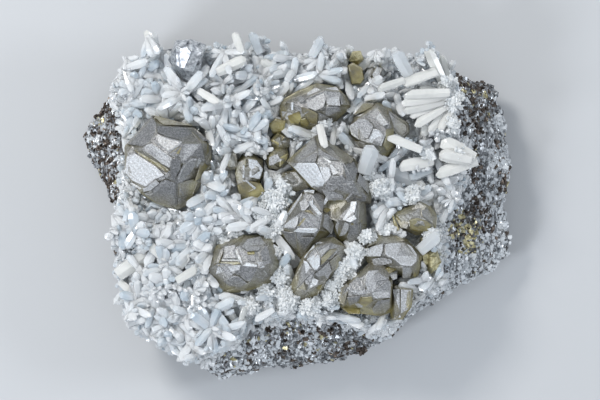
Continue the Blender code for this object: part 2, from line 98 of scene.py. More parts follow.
STUBBY_RIGHT, STUBBY_TOP = -12.0, 2.0  # the lower left part, where the points are stubby

# The shapes that quartz points come in: how many of each, their length over their width, the width
# of foot and tip as shares of the widest, and how much is off their edges, in widths.
POINT_SHAPES = {
    "slender": dict(count=18, length=3.6, foot=0.74, tip=0.72, bevel=0.03),
    "stubby": dict(count=18, length=2.8, foot=0.78, tip=0.78, bevel=0.03),
    "blade": dict(count=12, length=3.4, foot=0.84, tip=0.8, bevel=0.025),
    "filling": dict(count=12, length=3.4, foot=0.8, tip=0.7, bevel=0),
    "fine": dict(count=8, length=2.6, foot=0.9, tip=0.7, bevel=0),
}
# The six-sided prism of a point one unit wide: its corners' distance from its axis, how thick it is
# for its width, where along its length it is widest, and how steep its end faces are to its axis.
PRISM_RADIUS = 0.54
PRISM_THICKNESS = (0.42, 0.75)
WIDEST_AT = 0.62
END_FACE_ANGLE = math.radians(38)

# The smaller crystals between the large ones: mineral, tone of the top, partly etch and partly painted
# highlight and shade, which only cleiophane shows, height of the top, how far it falls to the right
# and to the front over each mm, and its corners in plan.
SMALL_CRYSTALS = [
    ("cleiophane", "amber", 28.6, (0.1, 0.3),
     [(12.4, 35.6), (14, 36.4), (16.4, 35), (17, 32), (16, 30.4), (13.6, 30.4)]),
    ("cleiophane", "dark", 31.0, (0.5, 0.1),
     [(22.4, 24.6), (24.4, 23.4), (28.2, 21), (28.4, 18.4), (26.6, 17), (24.6, 18), (22.6, 20)]),
    ("cleiophane", "light", 29.0, (0.1, -0.1),
     [(18.6, 33), (19.8, 35.4), (21.6, 34.8), (20.4, 32.4), (19.4, 31.2)]),
    ("cleiophane", "grey", 34.6, (0.2, 0.25),
     [(5.6, 4.6), (8.6, 5.6), (12.6, 4), (12.2, 1.6), (7.6, 1.4)]),
    ("cleiophane", "tan", 33.6, (-0.2, -0.3),
     [(7.2, 2), (12.4, 2.2), (13.2, -1), (10.6, -4.4), (7.6, -3)]),
    ("cleiophane", "honey", 27.6, (0.2, 0.2),
     [(-1.4, -15.4), (0.6, -14.4), (3, -16.4), (2.6, -19), (-0.4, -19.4)]),
    ("cleiophane", "amber", 29.0, (-0.2, 0.2),
     [(-6.4, -6.6), (-4, -5.4), (-2.4, -7.6), (-3.6, -10.4), (-6, -10.6)]),
    ("cleiophane", "dim", 30.6, (-0.3, 0.2),
     [(-18.4, 12), (-17.2, 14.4), (-15, 13.4), (-14.4, 9.6), (-16.8, 8.8)]),
    ("cleiophane", "tan", 32.2, (-0.25, 0.3),
     [(-15.6, 8.4), (-14.6, 11.6), (-12.6, 12.6), (-12.2, 8), (-13.2, 4.6), (-15, 5)]),
    ("cleiophane", "light", 32.8, (0.3, 0.2),
     [(-12.4, 12.4), (-10, 12), (-8.2, 9.4), (-9.2, 6.6), (-12, 7.2)]),
    ("cleiophane", "amber", 31.0, (0.1, 0.35),
     [(-15.4, 5.6), (-12.4, 7), (-8.8, 6.2), (-7.6, 4), (-9.4, 2.2), (-12.2, 0.8), (-14.2, 1.4)]),
    ("cleiophane", "amber", 30.0, (0.1, 0.4),
     [(-7.4, 20.6), (-5.4, 22.4), (-2.6, 21.6), (-3, 18.6), (-6, 18)]),
    ("chalcopyrite", "light", 27.6, (0.2, 0.3),
     [(31, -11.6), (33.2, -11.2), (33.6, -14.4), (31.4, -15)]),
    ("chalcopyrite", "light", 26.4, (0.4, 0.2),
     [(33, -11.4), (35.4, -11.8), (35.6, -15.8), (33.4, -16.4)]),
    ("chalcopyrite", "light", 28.4, (0.3, -0.2),
     [(30.6, -7.4), (32.2, -7.8), (32.8, -10), (31.6, -10.4)]),
]
SMALL_CRYSTAL_FOOT = 22.0
SMALL_CRYSTAL_TAPER = 0.12  # how much narrower its top is than its foot
SMALL_CRYSTAL_WEAR = 0.12  # what is worn off its edges

# How far the largest quartz points keep above the crust.
LARGE_CLEARANCE = 1.5
# The largest quartz points, each with its foot and tip in plan, how far its tip is above its foot,
# its width, and whether it's milky (1) or clear (0).
LARGE_POINTS = [
    (38.0, 28.6, 26.6, 28.0, 1.8, 2.6, 1), (37.4, 27.6, 25.9, 26.0, 2.4, 2.9, 1),
    (36.6, 26.6, 26.3, 23.9, 1.8, 2.8, 1), (37.2, 26.4, 28.0, 22.6, 2.6, 2.5, 1),
    (37.4, 25.4, 29.2, 20.2, 2.0, 2.7, 1), (37.6, 24.8, 30.8, 18.0, 2.4, 3.0, 1),
    (38.0, 25.0, 32.8, 18.6, 3.0, 2.3, 1), (38.8, 24.8, 35.4, 18.9, 2.2, 2.3, 1),
    (36.8, 28.6, 30.4, 29.8, 3.2, 2.3, 1), (36.0, 27.0, 30.6, 26.2, 3.6, 2.4, 1),
    (34.8, 33.8, 26.2, 30.7, 2.0, 3.5, 1), (36.6, 31.0, 32.4, 39.8, 1.6, 3.0, 1),
    (38.0, 31.4, 36.0, 38.4, 1.2, 2.6, 1), (28.0, 32.4, 24.4, 39.0, 3.0, 3.6, 0),
    (26.6, 31.6, 20.1, 29.3, 1.8, 2.2, 1), (31.0, 14.2, 22.4, 17.6, 1.8, 2.4, 1),
    (44.2, 12.0, 36.0, 16.6, 1.2, 4.2, 1), (45.0, 11.7, 34.6, 8.1, 1.0, 3.4, 1),
    (43.4, 11.6, 35.4, 13.2, 1.4, 3.8, 1),
    (34.0, 11.8, 25.4, 10.0, 1.4, 3.4, 1), (29.6, 6.2, 23.4, 9.0, 1.4, 3.8, 0),
    (33.4, 9.4, 27.6, 7.4, 1.4, 3.0, 0),
    (33.6, 1.4, 29.4, 7.0, 1.6, 3.2, 1), (16.5, 8.4, 18.9, 15.4, 1.6, 4.4, 0),
    (30.6, -11.0, 35.6, -6.6, 1.5, 3.6, 0),
    (-39.8, -6.4, -32.7, -13.5, 1.4, 2.4, 1), (-45.0, -17.0, -36.7, -11.2, 1.2, 4.2, 1),
    (-44.5, -18.7, -38.5, -23.9, 1.2, 2.2, 1), (-30.4, -16.4, -26.8, -11.8, 1.6, 2.2, 1),
    (-30.0, -18.4, -24.8, -15.3, 1.4, 2.4, 1), (-14.4, -29.6, -18.7, -24.2, 1.8, 2.1, 1),
    (-14.2, -29.0, -13.0, -24.8, 1.8, 1.7, 1), (-26.8, -33.6, -30.0, -29.2, 1.4, 2.0, 1),
    (-36.0, 38.0, -37.6, 44.4, 1.2, 2.4, 1), (-24.4, 28.9, -19.4, 25.8, 1.6, 2.2, 1),
    (-13.6, 38.0, -15.6, 43.6, 1.6, 2.2, 1), (-9.4, 38.4, -11.4, 43.8, 1.6, 2.4, 0),
    (3.6, 37.6, 6.4, 42.4, 2.0, 2.6, 0), (-20.0, 33.6, -12.6, 37.0, 1.6, 3.0, 1),
    (-17.0, 30.6, -9.6, 24.8, 1.6, 2.4, 0), (-3.0, 33.0, -9.0, 36.8, 1.6, 2.6, 1),
    (5.6, 20.4, 7.0, 14.6, 3.6, 2.2, 1), (9.6, 20.2, 8.4, 14.2, 3.2, 1.8, 1),
]

# Mounds of fine white quartz like sugar: centre, radius, and height of the mound's top.
SUGAR_MOUNDS = [
    (-5.6, 1.6, 4.6, 33.0), (-3.4, 5.4, 2.8, 33.5), (-8.6, -2.0, 4.0, 32.5), (-3.8, -4.4, 3.2, 33.0),
    (-6.8, -6.4, 2.8, 32.0), (-15.4, -5.8, 3.0, 31.5), (-18.4, -8.2, 2.2, 31.0), (-5.0, -11.2, 2.2, 31.5),
    (20.4, 4.8, 3.0, 34.0), (17.6, 8.6, 1.8, 34.0), (-4.2, -17.2, 3.4, 32.0), (-7.4, -21.4, 3.2, 31.0),
    (-2.4, -22.6, 3.8, 31.5), (-11.6, -24.6, 2.6, 30.5), (3.4, -24.0, 3.4, 31.0), (8.2, -22.8, 2.8, 31.5),
    (11.6, -15.2, 3.6, 33.0), (9.6, -19.4, 3.0, 32.0), (14.6, -11.4, 3.2, 34.0), (17.4, -7.4, 2.6, 34.0),
    (22.4, -5.4, 2.2, 33.0), (29.0, 3.0, 2.4, 32.5),
    (33.4, -6.8, 2.2, 32.0), (-11.0, 21.6, 2.2, 32.0), (38.6, 20.8, 2.2, 32.0), (40.2, 13.6, 2.2, 31.0),
    (38.8, 26.4, 2.8, 32.5), (37.4, 31.4, 2.0, 32.5), (32.6, 13.2, 1.8, 32.0), (6.8, 21.2, 1.6, 33.0),
]
MOUND_DEPTH = 1.6  # how deep a mound goes, in its radii

# Tones of a cleiophane facet: how pale it is painted, from 0 to 1, partly for its etched skin and
# partly as painted highlight and shade for how the facet catches the light, and how much more of the
# honey colour of the inside shows than on a plain facet, or how much less.
FACET_TONES_AND_PAINTED_LIGHT = {
    "rim": (0.12, 0.15), "dark": (0.02, -0.1), "dim": (0.18, 0.0), "grey": (0.38, -0.15),
    "light": (0.6, -0.4), "bright": (0.84, -0.6), "pale": (0.56, -1.0), "tan": (0.3, 0.3),
    "honey": (0.22, 0.65), "amber": (0.0, 0.9),
}
# The facets of each crystal that its solid doesn't have: a tone, partly etch and partly painted
# highlight and shade, which only cleiophane shows, and the facet's corners in plan. Each is a low
# block of its own that follows the crystal's slope.
FACETS = {
    "cleiophane_left_large": [
        ("dark", [(-42.4, 15.7), (-36.2, 22.7), (-34.9, 20.4), (-34.9, 17.2), (-36.4, 15.9), (-38.4, 15.1)]),
        ("tan", [(-35.8, 22.8), (-33.8, 22.4), (-26, 20.3), (-32.4, 20.4), (-33.4, 20.5)]),
        ("dark", [(-34.7, 20.1), (-25.8, 19.9), (-21.9, 16.5), (-27.5, 16.4), (-32, 17.3), (-34.7, 18.6)]),
        ("grey", [(-34.7, 18.3), (-31.9, 17.2), (-28.4, 16.2), (-29.2, 15.1), (-31.8, 13.6), (-34.6, 15.9)]),
        ("grey", [(-38.1, 14.9), (-37.1, 15.6), (-36, 15.8), (-30.9, 12.1), (-31.6, 9.7), (-33.7, 10.8)]),
        ("honey", [(-40.5, 14.2), (-39.2, 14.4), (-31.7, 9.2), (-32.3, 8.5), (-35, 10.2), (-39.6, 13.3)]),
        ("light", [(-42.4, 12.6), (-40.4, 13.4), (-35, 10), (-32.9, 7.9), (-35.2, 7), (-37.6, 5.1),
                    (-41.1, 6.6), (-42.9, 8.7)]),
        ("bright", [(-41.5, 5.8), (-41, 6), (-38.6, 4.8), (-39.2, 4.4)]),
        ("light", [(-38.4, 4.7), (-37.5, 4.9), (-35, 6.7), (-34.2, 5.9), (-36.4, 4.2), (-38.2, 3.9)]),
        ("dark", [(-38.3, 3.5), (-36.4, 3.8), (-33.6, 6.4), (-32.4, 6.8), (-30.1, 6), (-29.9, 0.2),
                  (-35.4, 1.3)]),
        ("dark", [(-31.4, 11), (-31, 12), (-30, 12.3), (-28.9, 11.4), (-28.8, 9.6), (-30.2, 7.2),
                  (-31.4, 7.2)]),
        ("amber", [(-31.7, 13.4), (-29.8, 14.8), (-28.4, 15.2), (-29.2, 13.1)]),
        ("grey", [(-29.1, 12.7), (-28.4, 13.3), (-25.8, 13), (-27, 12.3), (-28.3, 10.8), (-28.8, 11.2)]),
        ("dim", [(-28, 11), (-26.2, 12.2), (-24.7, 12.3), (-25.2, 10), (-26.6, 8), (-29.8, 6.5),
                 (-29.4, 8.2)]),
        ("grey", [(-24.9, 11.8), (-24.2, 12.4), (-23.8, 11.6), (-25, 9.8)]),
        ("honey", [(-25.4, 15.7), (-22, 16), (-21.8, 10.8), (-24.2, 7.2), (-25.4, 6.4), (-23.6, 12.2)]),
        ("tan", [(-29.5, 5.8), (-25.8, 7), (-24.8, 6.2), (-26.4, 1.8), (-27.4, 1.4), (-29.5, 2.4)]),
        ("amber", [(-29.6, 2.2), (-27.5, 1.3), (-28.4, 0.5), (-29.6, 0.1)]),
    ],
    "cleiophane_centre_cluster": [
        # The upper crystal.
        ("dim", [(4.3, 17.6), (-0.7, 11.9), (0.4, 11.2), (4.5, 11.2), (5, 12.5), (5, 15.2)]),
        ("tan", [(4.7, 17.8), (12.3, 13.2), (14, 11.8), (13.4, 10.9), (10.7, 11.5), (6.4, 14.1),
                 (5.1, 15.2)]),
        ("dim", [(5.2, 14.9), (6.4, 13.9), (10.4, 11.6), (8.2, 11.8), (5.6, 12.9), (5.2, 12.4)]),
        ("bright", [(-0.8, 9.9), (0.3, 11), (4.5, 11), (5.1, 10.2), (6.9, 6.2), (6.4, 5.2), (3.7, 4.9)]),
        ("light", [(5.3, 10.1), (8, 9.9), (8.5, 7.7), (7.6, 6.5), (7, 6)]),
        ("bright", [(5.6, 13), (6.1, 13.2), (8.6, 11.2), (8.2, 10.8)]),
        ("bright", [(8.9, 10.8), (9.4, 11), (11, 9.6), (10.5, 8.9)]),
        ("light", [(8, 10.4), (8.6, 10.6), (10.3, 8.5), (9, 7.9)]),
        ("dark", [(11.3, 10.5), (14.2, 11.3), (15.2, 9), (14.4, 6.8), (13, 6.5), (12.2, 7.2)]),
        ("dim", [(8.7, 7.5), (11.3, 7.9), (12, 7), (9.8, 4.6), (8, 3.2), (6.9, 4.8), (7.7, 6.2)]),
        ("bright", [(6.4, 0.8), (7.3, 2.8), (9.9, 4.1), (8.4, 2.6), (6.9, 0.5)]),
        ("light", [(8.1, 0.4), (9.8, 2.1), (10.4, 3.4), (10.2, 1.7), (9, 0.3)]),
        ("light", [(10.7, 1.6), (13.1, 5.2), (13.7, 5.2), (11.6, 1.8)]),
        ("dark", [(12, 2), (14.6, 4.7), (17.4, 2.7), (17, 1.4), (12.4, 1.2)]),
        ("dim", [(14.9, 6.4), (15.6, 8.4), (18.2, 5.8), (17.8, 3.2)]),
        # The lower left crystal.
        ("light", [(-4.8, -5.1), (1.3, 3.7), (1.1, 1.5), (0.5, 1.2), (0.7, -0.8), (0.1, -4.3),
                   (-0.6, -5.3)]),
        ("bright", [(1.6, 4.2), (4.4, 4.3), (3.9, 2.4), (4, 0.8), (6.1, -1.6), (5.4, -2.2), (3.2, 0.6),
                    (2.3, 2.2)]),
        ("light", [(0.6, 1.1), (2.1, 2.3), (3.1, 0.4), (2, -0.8), (1, -0.8)]),
        ("amber", [(1.7, -0.9), (3.3, -0.7), (4.6, -2.3), (3.4, -1.5), (2.6, -1.3)]),
        ("bright", [(1.4, -2), (2, -1.7), (4.6, -2.4), (4.4, -2.8), (1.7, -2.3)]),
        ("amber", [(0, -4.8), (1.7, -2.7), (2.2, -2.8), (0.8, -4.6)]),
        ("light", [(0.8, -4.7), (2.3, -3), (4.3, -3), (4.2, -4.4), (1.8, -4.9)]),
        ("bright", [(-0.8, -6), (0.2, -5.2), (5, -5.2), (5.2, -5.8), (4.4, -6.5), (0.4, -6.3)]),
        ("light", [(1.1, -6.9), (4, -7), (4, -7.3), (1.2, -7.2)]),
        ("dark", [(-3.9, -5.9), (-0.9, -6.3), (1, -7.5), (4.2, -7.5), (1.6, -11.4), (-0.4, -11.5),
                  (-1.6, -9.8), (-3, -7.7)]),
        ("light", [(5.4, -1.9), (5.9, -2), (5.6, -4.3), (5.2, -4.6)]),
        ("grey", [(5.9, -2.1), (7.6, -1.7), (9.3, -4.4), (8.6, -6.8), (7.8, -6), (5.8, -4.4)]),
        ("amber", [(6.3, -0.8), (7, -0.2), (8.3, -0.4), (8.2, -1), (7.2, -1.5)]),
        ("tan", [(8.6, -0.7), (10.4, 0), (11.4, -1.8), (11, -3.2), (9.8, -3.4), (8, -1.5)]),
        # The lower right crystal.
        ("bright", [(13.4, 1.4), (14.8, 1.5), (14.8, 0.8), (14.2, -1.8), (14.8, -2.9), (13.2, -3.8),
                    (11.3, -3.1), (13.2, 0)]),
        ("grey", [(15.1, 1), (16.5, 0), (16.5, -1.6), (14.5, -2.3), (14.7, -0.4)]),
        ("light", [(10, -3.6), (11.3, -3.4), (12.9, -4.3), (12.7, -5.6), (12, -6.9), (10.4, -7.4),
                   (9.5, -5)]),
        ("amber", [(13.3, -4.1), (16.2, -3.2), (16.2, -3.8), (13.6, -4.6)]),
        ("dark", [(13.3, -4.7), (16, -4), (15.8, -8.8), (14.9, -10), (13, -8.8), (12.4, -7.4), (13, -6)]),
        # The left crystal.
        ("light", [(-3.7, 8), (-2.6, 8.5), (-2.2, 7), (-3.9, 6.6)]),
        ("dim", [(-1.7, 8.7), (-0.2, 8.7), (1.6, 6.4), (0, 5.1), (-1.9, 5.4)]),
        # The oval crystal.
        ("bright", [(1.7, -12.6), (4.4, -9.2), (4.8, -10.6), (5.7, -12.2), (5.7, -14.4), (5, -15.5),
                    (4.3, -15.6), (3.4, -14.4), (2.6, -13.4)]),
        ("light", [(4.6, -9.1), (5.6, -8.6), (8.2, -9.4), (7.9, -10.4), (6, -12.1), (5, -10.8)]),
        ("light", [(1.6, -13.2), (2.6, -13.6), (4, -16), (4.2, -17.6), (5.4, -18.2), (5, -19.3),
                   (2.5, -20.6), (1.9, -19), (2.3, -16.8)]),
        ("tan", [(1.2, -14.2), (2.1, -16.6), (1.7, -19), (2.2, -20.8), (0, -20.2), (-0.4, -17)]),
        ("grey", [(6, -15.4), (7.9, -13.6), (8.7, -16.1), (7.6, -17.9), (6.8, -17), (5.2, -17.4),
                  (4.5, -16.6)]),
        ("honey", [(6.1, -12.5), (8.2, -10.5), (9.9, -10.3), (9.6, -10.9), (6.6, -14), (5.9, -14.4)]),
        ("grey", [(6.8, -14.2), (9.8, -11), (10.3, -10.9), (7.4, -13.8)]),
        ("tan", [(8.1, -13.6), (10.2, -11.8), (10.9, -12.8), (10, -15.2), (8.9, -16)]),
        ("amber", [(4.9, -20.3), (5.3, -19.6), (6.9, -19), (7, -19.6), (6, -20.8)]),
    ],
    "cleiophane_lower_left": [
        ("honey", [(-21.4, -13.2), (-20.1, -10.3), (-18.4, -10), (-18.5, -11.4), (-19.3, -13.8),
                   (-20.4, -14.5)]),
        ("grey", [(-18.1, -9.9), (-15.3, -9.4), (-15.5, -11), (-14.9, -12.7), (-18.4, -12.7), (-18, -11.4)]),
        ("light", [(-18.8, -12.9), (-14.8, -12.9), (-14.3, -13.4), (-18.9, -13.4)]),
        ("honey", [(-19.1, -13.6), (-14.4, -13.6), (-14, -14.1), (-18.8, -14.7), (-19.8, -14.6)]),
        ("light", [(-19.8, -15), (-13.9, -14.3), (-14.3, -15.6), (-16.6, -16.1), (-20.2, -16.6)]),
        ("bright", [(-15.4, -10.2), (-15.6, -11.6), (-13.6, -14.5), (-13, -13.8)]),
        ("bright", [(-13.6, -14.6), (-9.9, -14.9), (-9.8, -14.4), (-12.4, -13.7)]),
        ("grey", [(-14, -15.3), (-10.1, -15.1), (-11.8, -18.6)]),
        ("light", [(-10, -13.6), (-8.7, -13.6), (-7.9, -14.9), (-9.2, -15.2)]),
        ("grey", [(-10, -16.3), (-8.2, -15.7), (-7.4, -16.6), (-8.6, -17.9), (-10, -17.4)]),
        ("grey", [(-13.7, -9.9), (-12.3, -8), (-9.2, -7.3), (-8, -9), (-9.6, -10.7), (-12.2, -10.9)]),
        ("amber", [(-12.4, -11.2), (-10.6, -11), (-10.5, -11.7), (-12.2, -11.8)]),
        ("dim", [(-12.8, -12), (-10.4, -11.9), (-10.2, -13.6), (-12.3, -13.4)]),
        ("dim", [(-7.8, -9.4), (-7, -11), (-7, -13.4), (-8.6, -13.2), (-9.2, -11.4)]),
        ("dim", [(-14.6, -17.2), (-12.3, -19), (-14, -20), (-17, -19.7), (-18.4, -18.4), (-16, -17)]),
    ],
    "cleiophane_lower_right_group": [
        # The upper crystal.
        ("light", [(21.9, -9.3), (23, -9), (26.6, -8.8), (28.4, -9.7), (29.9, -11.8), (29.7, -13.6),
                   (28.4, -14.7), (25.8, -14.4), (24, -12.8), (22.6, -12.2), (21.9, -11.6)]),
        ("light", [(16.6, -11.3), (18.4, -9.9), (21.3, -9.1), (21.3, -10.8), (20.8, -12.2), (18, -12.3)]),
        ("tan", [(17.4, -9.9), (19.5, -7.4), (22, -6.6), (25.2, -7.3), (26.8, -8.4), (23, -8.6),
                 (19.6, -9)]),
        ("grey", [(18.6, -12.9), (21, -12.5), (23.6, -13.1), (23.7, -13.9), (21, -14.6), (19.2, -14.6)]),
        ("grey", [(26.2, -15), (28.9, -15.1), (28.3, -17.5), (26.3, -17.6)]),
        ("honey", [(30.1, -11.9), (30.8, -12.8), (30.2, -15.8), (29.4, -17.6), (28.9, -17.2), (29.7, -14.6)]),
        ("amber", [(21.7, -15.4), (22.8, -14.9), (24.6, -14.9), (25, -15.5), (22.5, -16.9)]),
        ("light", [(22.9, -16.8), (23.7, -15.9), (25.1, -15.9), (24.9, -17.8), (23.9, -18.2)]),
        # The lower crystal.
        ("grey", [(16.9, -17.4), (17.7, -15.8), (20, -15.6), (22.3, -17.1), (23.4, -19), (23.2, -22.6),
                  (20.2, -22.7), (18.5, -21.1), (17.1, -19)]),
        ("light", [(16.8, -18), (17.3, -18.9), (18.6, -21.1), (20.2, -22.8), (19.4, -22.6), (17.6, -20.8)]),
        ("grey", [(12.7, -19.4), (15, -17.4), (16.4, -18.1), (17, -20.6), (16.2, -21.3), (13.4, -21.1)]),
        ("tan", [(10.2, -21), (12.3, -19), (13.2, -19.5), (12.4, -22.2), (11.7, -24.4), (10.8, -24)]),
        ("amber", [(15.9, -22.2), (18.6, -22.0), (19.0, -23.4), (17, -24.8), (15.2, -23.9)]),
        ("dark", [(12.4, -22.4), (15.8, -21.8), (15.1, -23.5), (13.0, -24.6)]),
        ("light", [(14.4, -24.1), (16.6, -23.9), (16.3, -25), (15.2, -25.1)]),
        ("light", [(16.1, -26.4), (17, -25), (18.3, -25.3), (17.6, -26.5)]),
        ("dark", [(18.7, -25.4), (20.2, -23.3), (23.1, -22.9), (23.2, -25.2), (21.8, -26.6), (19.2, -26.6)]),
        ("honey", [(11.5, -25.2), (14, -24.9), (15.8, -25.6), (15.6, -26.7), (12.8, -26.6)]),
        # The blade beside it.
        ("pale", [(25.9, -20.5), (28.5, -20.7), (28.3, -23), (27.6, -25.6), (25.9, -26.6)]),
        ("pale", [(24, -20.6), (25.6, -20.4), (25.7, -26.6), (26, -27.6), (24, -27.8), (24.4, -23)]),
    ],
    "cleiophane_upper_middle": [
        ("tan", [(-4.2, 26.3), (0, 28.8), (4, 30.1), (4, 29), (0.4, 27.4), (-2.2, 26.6), (-3, 25.4)]),
        ("dim", [(-0.2, 27.2), (1.4, 27.6), (2.2, 26.4), (0.6, 26)]),
        ("grey", [(2.6, 28.4), (4.6, 29.8), (6.8, 28.6), (7.2, 26.8), (6.6, 24.8), (4.6, 23.9),
                  (2.6, 24.8), (2.2, 26.4)]),
        ("light", [(7.2, 29.6), (9.8, 30), (10.6, 28.8), (10.4, 27.4), (10.8, 25.2), (7.6, 25.3),
                   (7.2, 26.6)]),
        ("bright", [(-1.5, 26.1), (-0.9, 26.1), (-0.9, 24.1), (-1.4, 24)]),
        ("light", [(-3.9, 23.9), (-1.8, 23.7), (-0.6, 22.8), (-3, 21.4), (-3.4, 21.6)]),
        ("dim", [(7.2, 24.8), (10.6, 24.9), (11, 24), (9.4, 23.3), (8, 22.6), (7, 22.8)]),
        ("honey", [(1, 25), (3.8, 24), (5.2, 23.2), (5, 20.6), (3.2, 21), (2.4, 22.6), (1.4, 23.4)]),
        ("dim", [(5.4, 23.4), (6.6, 23), (9.2, 21.7), (6.4, 20.4), (5.3, 20.8)]),
        ("amber", [(-2.4, 22.7), (0.6, 23.8), (1.2, 22.2), (0.4, 20.6), (-1.6, 20.9)]),
        ("honey", [(0.9, 21.9), (2.2, 22.2), (3.1, 20.8), (2.6, 19.9), (0.8, 20.2)]),
        ("dim", [(10.8, 28.4), (12.2, 27.4), (12.8, 25.4), (11.1, 25.4), (10.7, 27.2)]),
    ],
    "cleiophane_upper_right": [
        ("grey", [(13, 20.2), (15.4, 21.9), (17.4, 21.8), (19, 20), (17.8, 17.2), (15.4, 16.8),
                  (13.6, 18)]),
        ("grey", [(14.6, 22.6), (17, 23.6), (19.4, 25.2), (20, 24.6), (22.8, 20.6), (21.4, 20),
                  (18.8, 22.4)]),
        ("tan", [(14, 22.9), (16.4, 25.8), (19, 26), (19.2, 25.3), (16.6, 23.8)]),
        ("light", [(19, 19.5), (20.4, 19.2), (21.8, 17.4), (21, 15.2), (18, 16.2), (17.9, 16.9)]),
        ("honey", [(22.2, 19.4), (24, 19.6), (24, 15), (22.4, 14), (21.4, 15.4), (22, 17.2)]),
        ("dim", [(14.4, 16.4), (17.2, 16.2), (17, 14.6), (15.4, 15.2)]),
    ],
    "cleiophane_right": [
        ("tan", [(24, -1.8), (28.2, -0.9), (30.4, 1.3), (32.2, 0.2), (31.2, -2), (28.4, -2.6),
                 (27.4, -5.4), (25.9, -5.2)]),
        ("amber", [(23.7, -1.8), (24, -2.2), (25.6, -5.6), (24.6, -6.4), (24.2, -4.6)]),
        ("honey", [(28, -3.2), (30, -2.7), (32.2, -3.4), (33.4, -4.4), (32.8, -6), (30, -6.2),
                   (28.2, -5.6)]),
        ("dim", [(31, -0.8), (32.4, -0.4), (33.6, -2), (34, -4.2), (32.6, -3.1), (31.2, -2.3)]),
    ],
    "cleiophane_small_left": [
        ("grey", [(-12.8, 13.2), (-9.6, 11.2), (-10.4, 10.4), (-13.6, 10.6)]),
        ("tan", [(-13.2, 9.8), (-12.2, 9.9), (-9.2, 8.6), (-9.2, 7.4), (-10.4, 6.2), (-12.8, 7.6)]),
        ("bright", [(-13.5, 10.5), (-13, 10.3), (-13.2, 7.2), (-13.6, 7.3)]),
        ("bright", [(-13.6, 6.6), (-12.7, 6.7), (-10.2, 4.7), (-10.6, 4.4)]),
        ("tan", [(-13.7, 6.1), (-13, 6.1), (-10.8, 4.3), (-12.2, 3.7), (-13.8, 4.6)]),
    ],
    "cleiophane_small_pair": [
        ("light", [(-6.9, 12.4), (-4.8, 13.2), (-4.4, 12.2), (-5.8, 10.4), (-7, 10.4)]),
        ("honey", [(-4.2, 12.4), (-2.4, 13.4), (-2.6, 11.8), (-4.4, 10)]),
        ("honey", [(-6.6, 16.6), (-4.8, 18.6), (-3, 17.4), (-4.6, 15.4)]),
        ("grey", [(-4.4, 16.4), (-2.6, 16.6), (-2.8, 15.4), (-4.6, 15)]),
    ],
    "galena_crystal": [
        ("bright", [(-30.1, 40.2), (-28.8, 39.6), (-27.4, 39.9), (-26.2, 38.4), (-26.6, 37.6),
                    (-28, 34.6), (-29.2, 34.6), (-30.1, 35.6)]),
        ("light", [(-27, 40.3), (-24, 41), (-25.4, 40.2), (-23.4, 38.4), (-26, 38.6)]),
        ("grey", [(-30, 41.6), (-27, 41.4), (-28, 39.9), (-29, 39.8), (-30.2, 40.4)]),
        ("light", [(-26.4, 37.2), (-23.6, 38.3), (-25, 36.2), (-27.6, 34.8), (-27.4, 35.8)]),
        ("grey", [(-28.2, 32.4), (-24.2, 35.8), (-24.6, 33.4), (-26.6, 31.2)]),
    ],
}
FACET_RISE = (0.05, 0.24)  # how far a facet's block stands proud
FACET_LIFT = 0.7  # the most that it is raised to clear the crystal under it
FACET_DEPTH = 3.0  # how deep the block goes
LEAST_LEVEL = 0.4  # how level a facet is at least: the upward part of its normal
CRYSTAL_HEIGHT = 32.0  # about how high the crystals' faces are
EDGE_WEAR = 0.05  # what is worn off a crystal's edges

# Growth steps are flat plates on a facet. A facet's reach is its area over the length round it: the
# least that carries any, a plate's distance from the facet's edge as a share of it, a plate's
# height, and how much paler or darker a plate can be.
STEP_LEAST_REACH = 0.3
STEP_RIM = (0.1, 0.26)
STEP_HEIGHT = (0.06, 0.16)
STEP_PALENESS = 0.1

# How the crust and the slab are broken up: their finest edge, and the spacing and the height of
# each size of hump. The mounds have one size.
CRUST_FINEST, CRUST_RELIEF = 1.8, [(3.0, 0.9), (1.2, 0.4)]
SLAB_FINEST, SLAB_RELIEF = 1.1, [(7, 1.8), (2.8, 1.2), (1.3, 0.5)]
MOUND_LUMPS = (2.4, 1.4)

# Patches where one mineral is common in the ore: seen from above, centre and radius.
ORE_PATCHES = [
    (41.8, 30, 1.8, "chalcopyrite"), (47.6, 28.4, 1.6, "chalcopyrite"), (40.2, -1.6, 2.4, "chalcopyrite"),
    (41.8, -6.4, 5.4, "chalcopyrite"), (44.4, -9.6, 3.0, "chalcopyrite"), (-49.8, 22.0, 1.8, "chalcopyrite"),
    (-50, 8.6, 1.4, "chalcopyrite"), (-1, -29.5, 2.2, "chalcopyrite"), (-49.6, 30.6, 2.0, "chalcopyrite"),
    (44, 24, 8.0, "sphalerite"), (41.6, 29.0, 5.0, "sphalerite"), (45.8, -1.2, 4.6, "sphalerite"),
    (43.6, 9.6, 4.4, "sphalerite"), (-46.6, 14.0, 9.0, "sphalerite"), (-47.4, 24.0, 8.0, "sphalerite"),
    (-45.6, 6.4, 7.0, "sphalerite"), (6.5, -30.4, 3.6, "sphalerite"), (-4, -31, 3.0, "sphalerite"),
    (51.4, 1.0, 5.0, "quartz"), (51.8, -5, 5.6, "quartz"), (50.2, -12, 7.0, "quartz"),
    (43.0, -17.0, 9.0, "quartz"), (34.0, -22.0, 8.0, "quartz"), (24.0, -30.0, 8.0, "quartz"),
    (38.0, -17.0, 5.0, "quartz"), (27.0, -25.0, 5.0, "quartz"),
    (-9, -37, 8.0, "quartz"), (4, -36, 6.0, "quartz"), (-18, -42, 7.0, "quartz"),
    (52.6, 12, 6.0, "quartz"), (52.6, 21.0, 4.4, "quartz"), (-52.4, 12.6, 1.8, "quartz"),
    (14, -31, 5.0, "galena"), (28, -26, 4.0, "galena"), (50.6, 26, 5.0, "galena"),
]
PATCH_SHARE = 0.7  # how many of the grains at the middle of a patch are of its mineral
NEAR_CRUST, NEAR_CRUST_QUARTZ = 2.0, 0.35  # and how many are quartz this near to the crust
GRAIN_SHAPES = 14
GRAIN_SPACING = 0.8
GRAIN_SIZE = (0.4, 1.5)
GRAIN_SKEW = 2.5  # over 1, because most grains are small
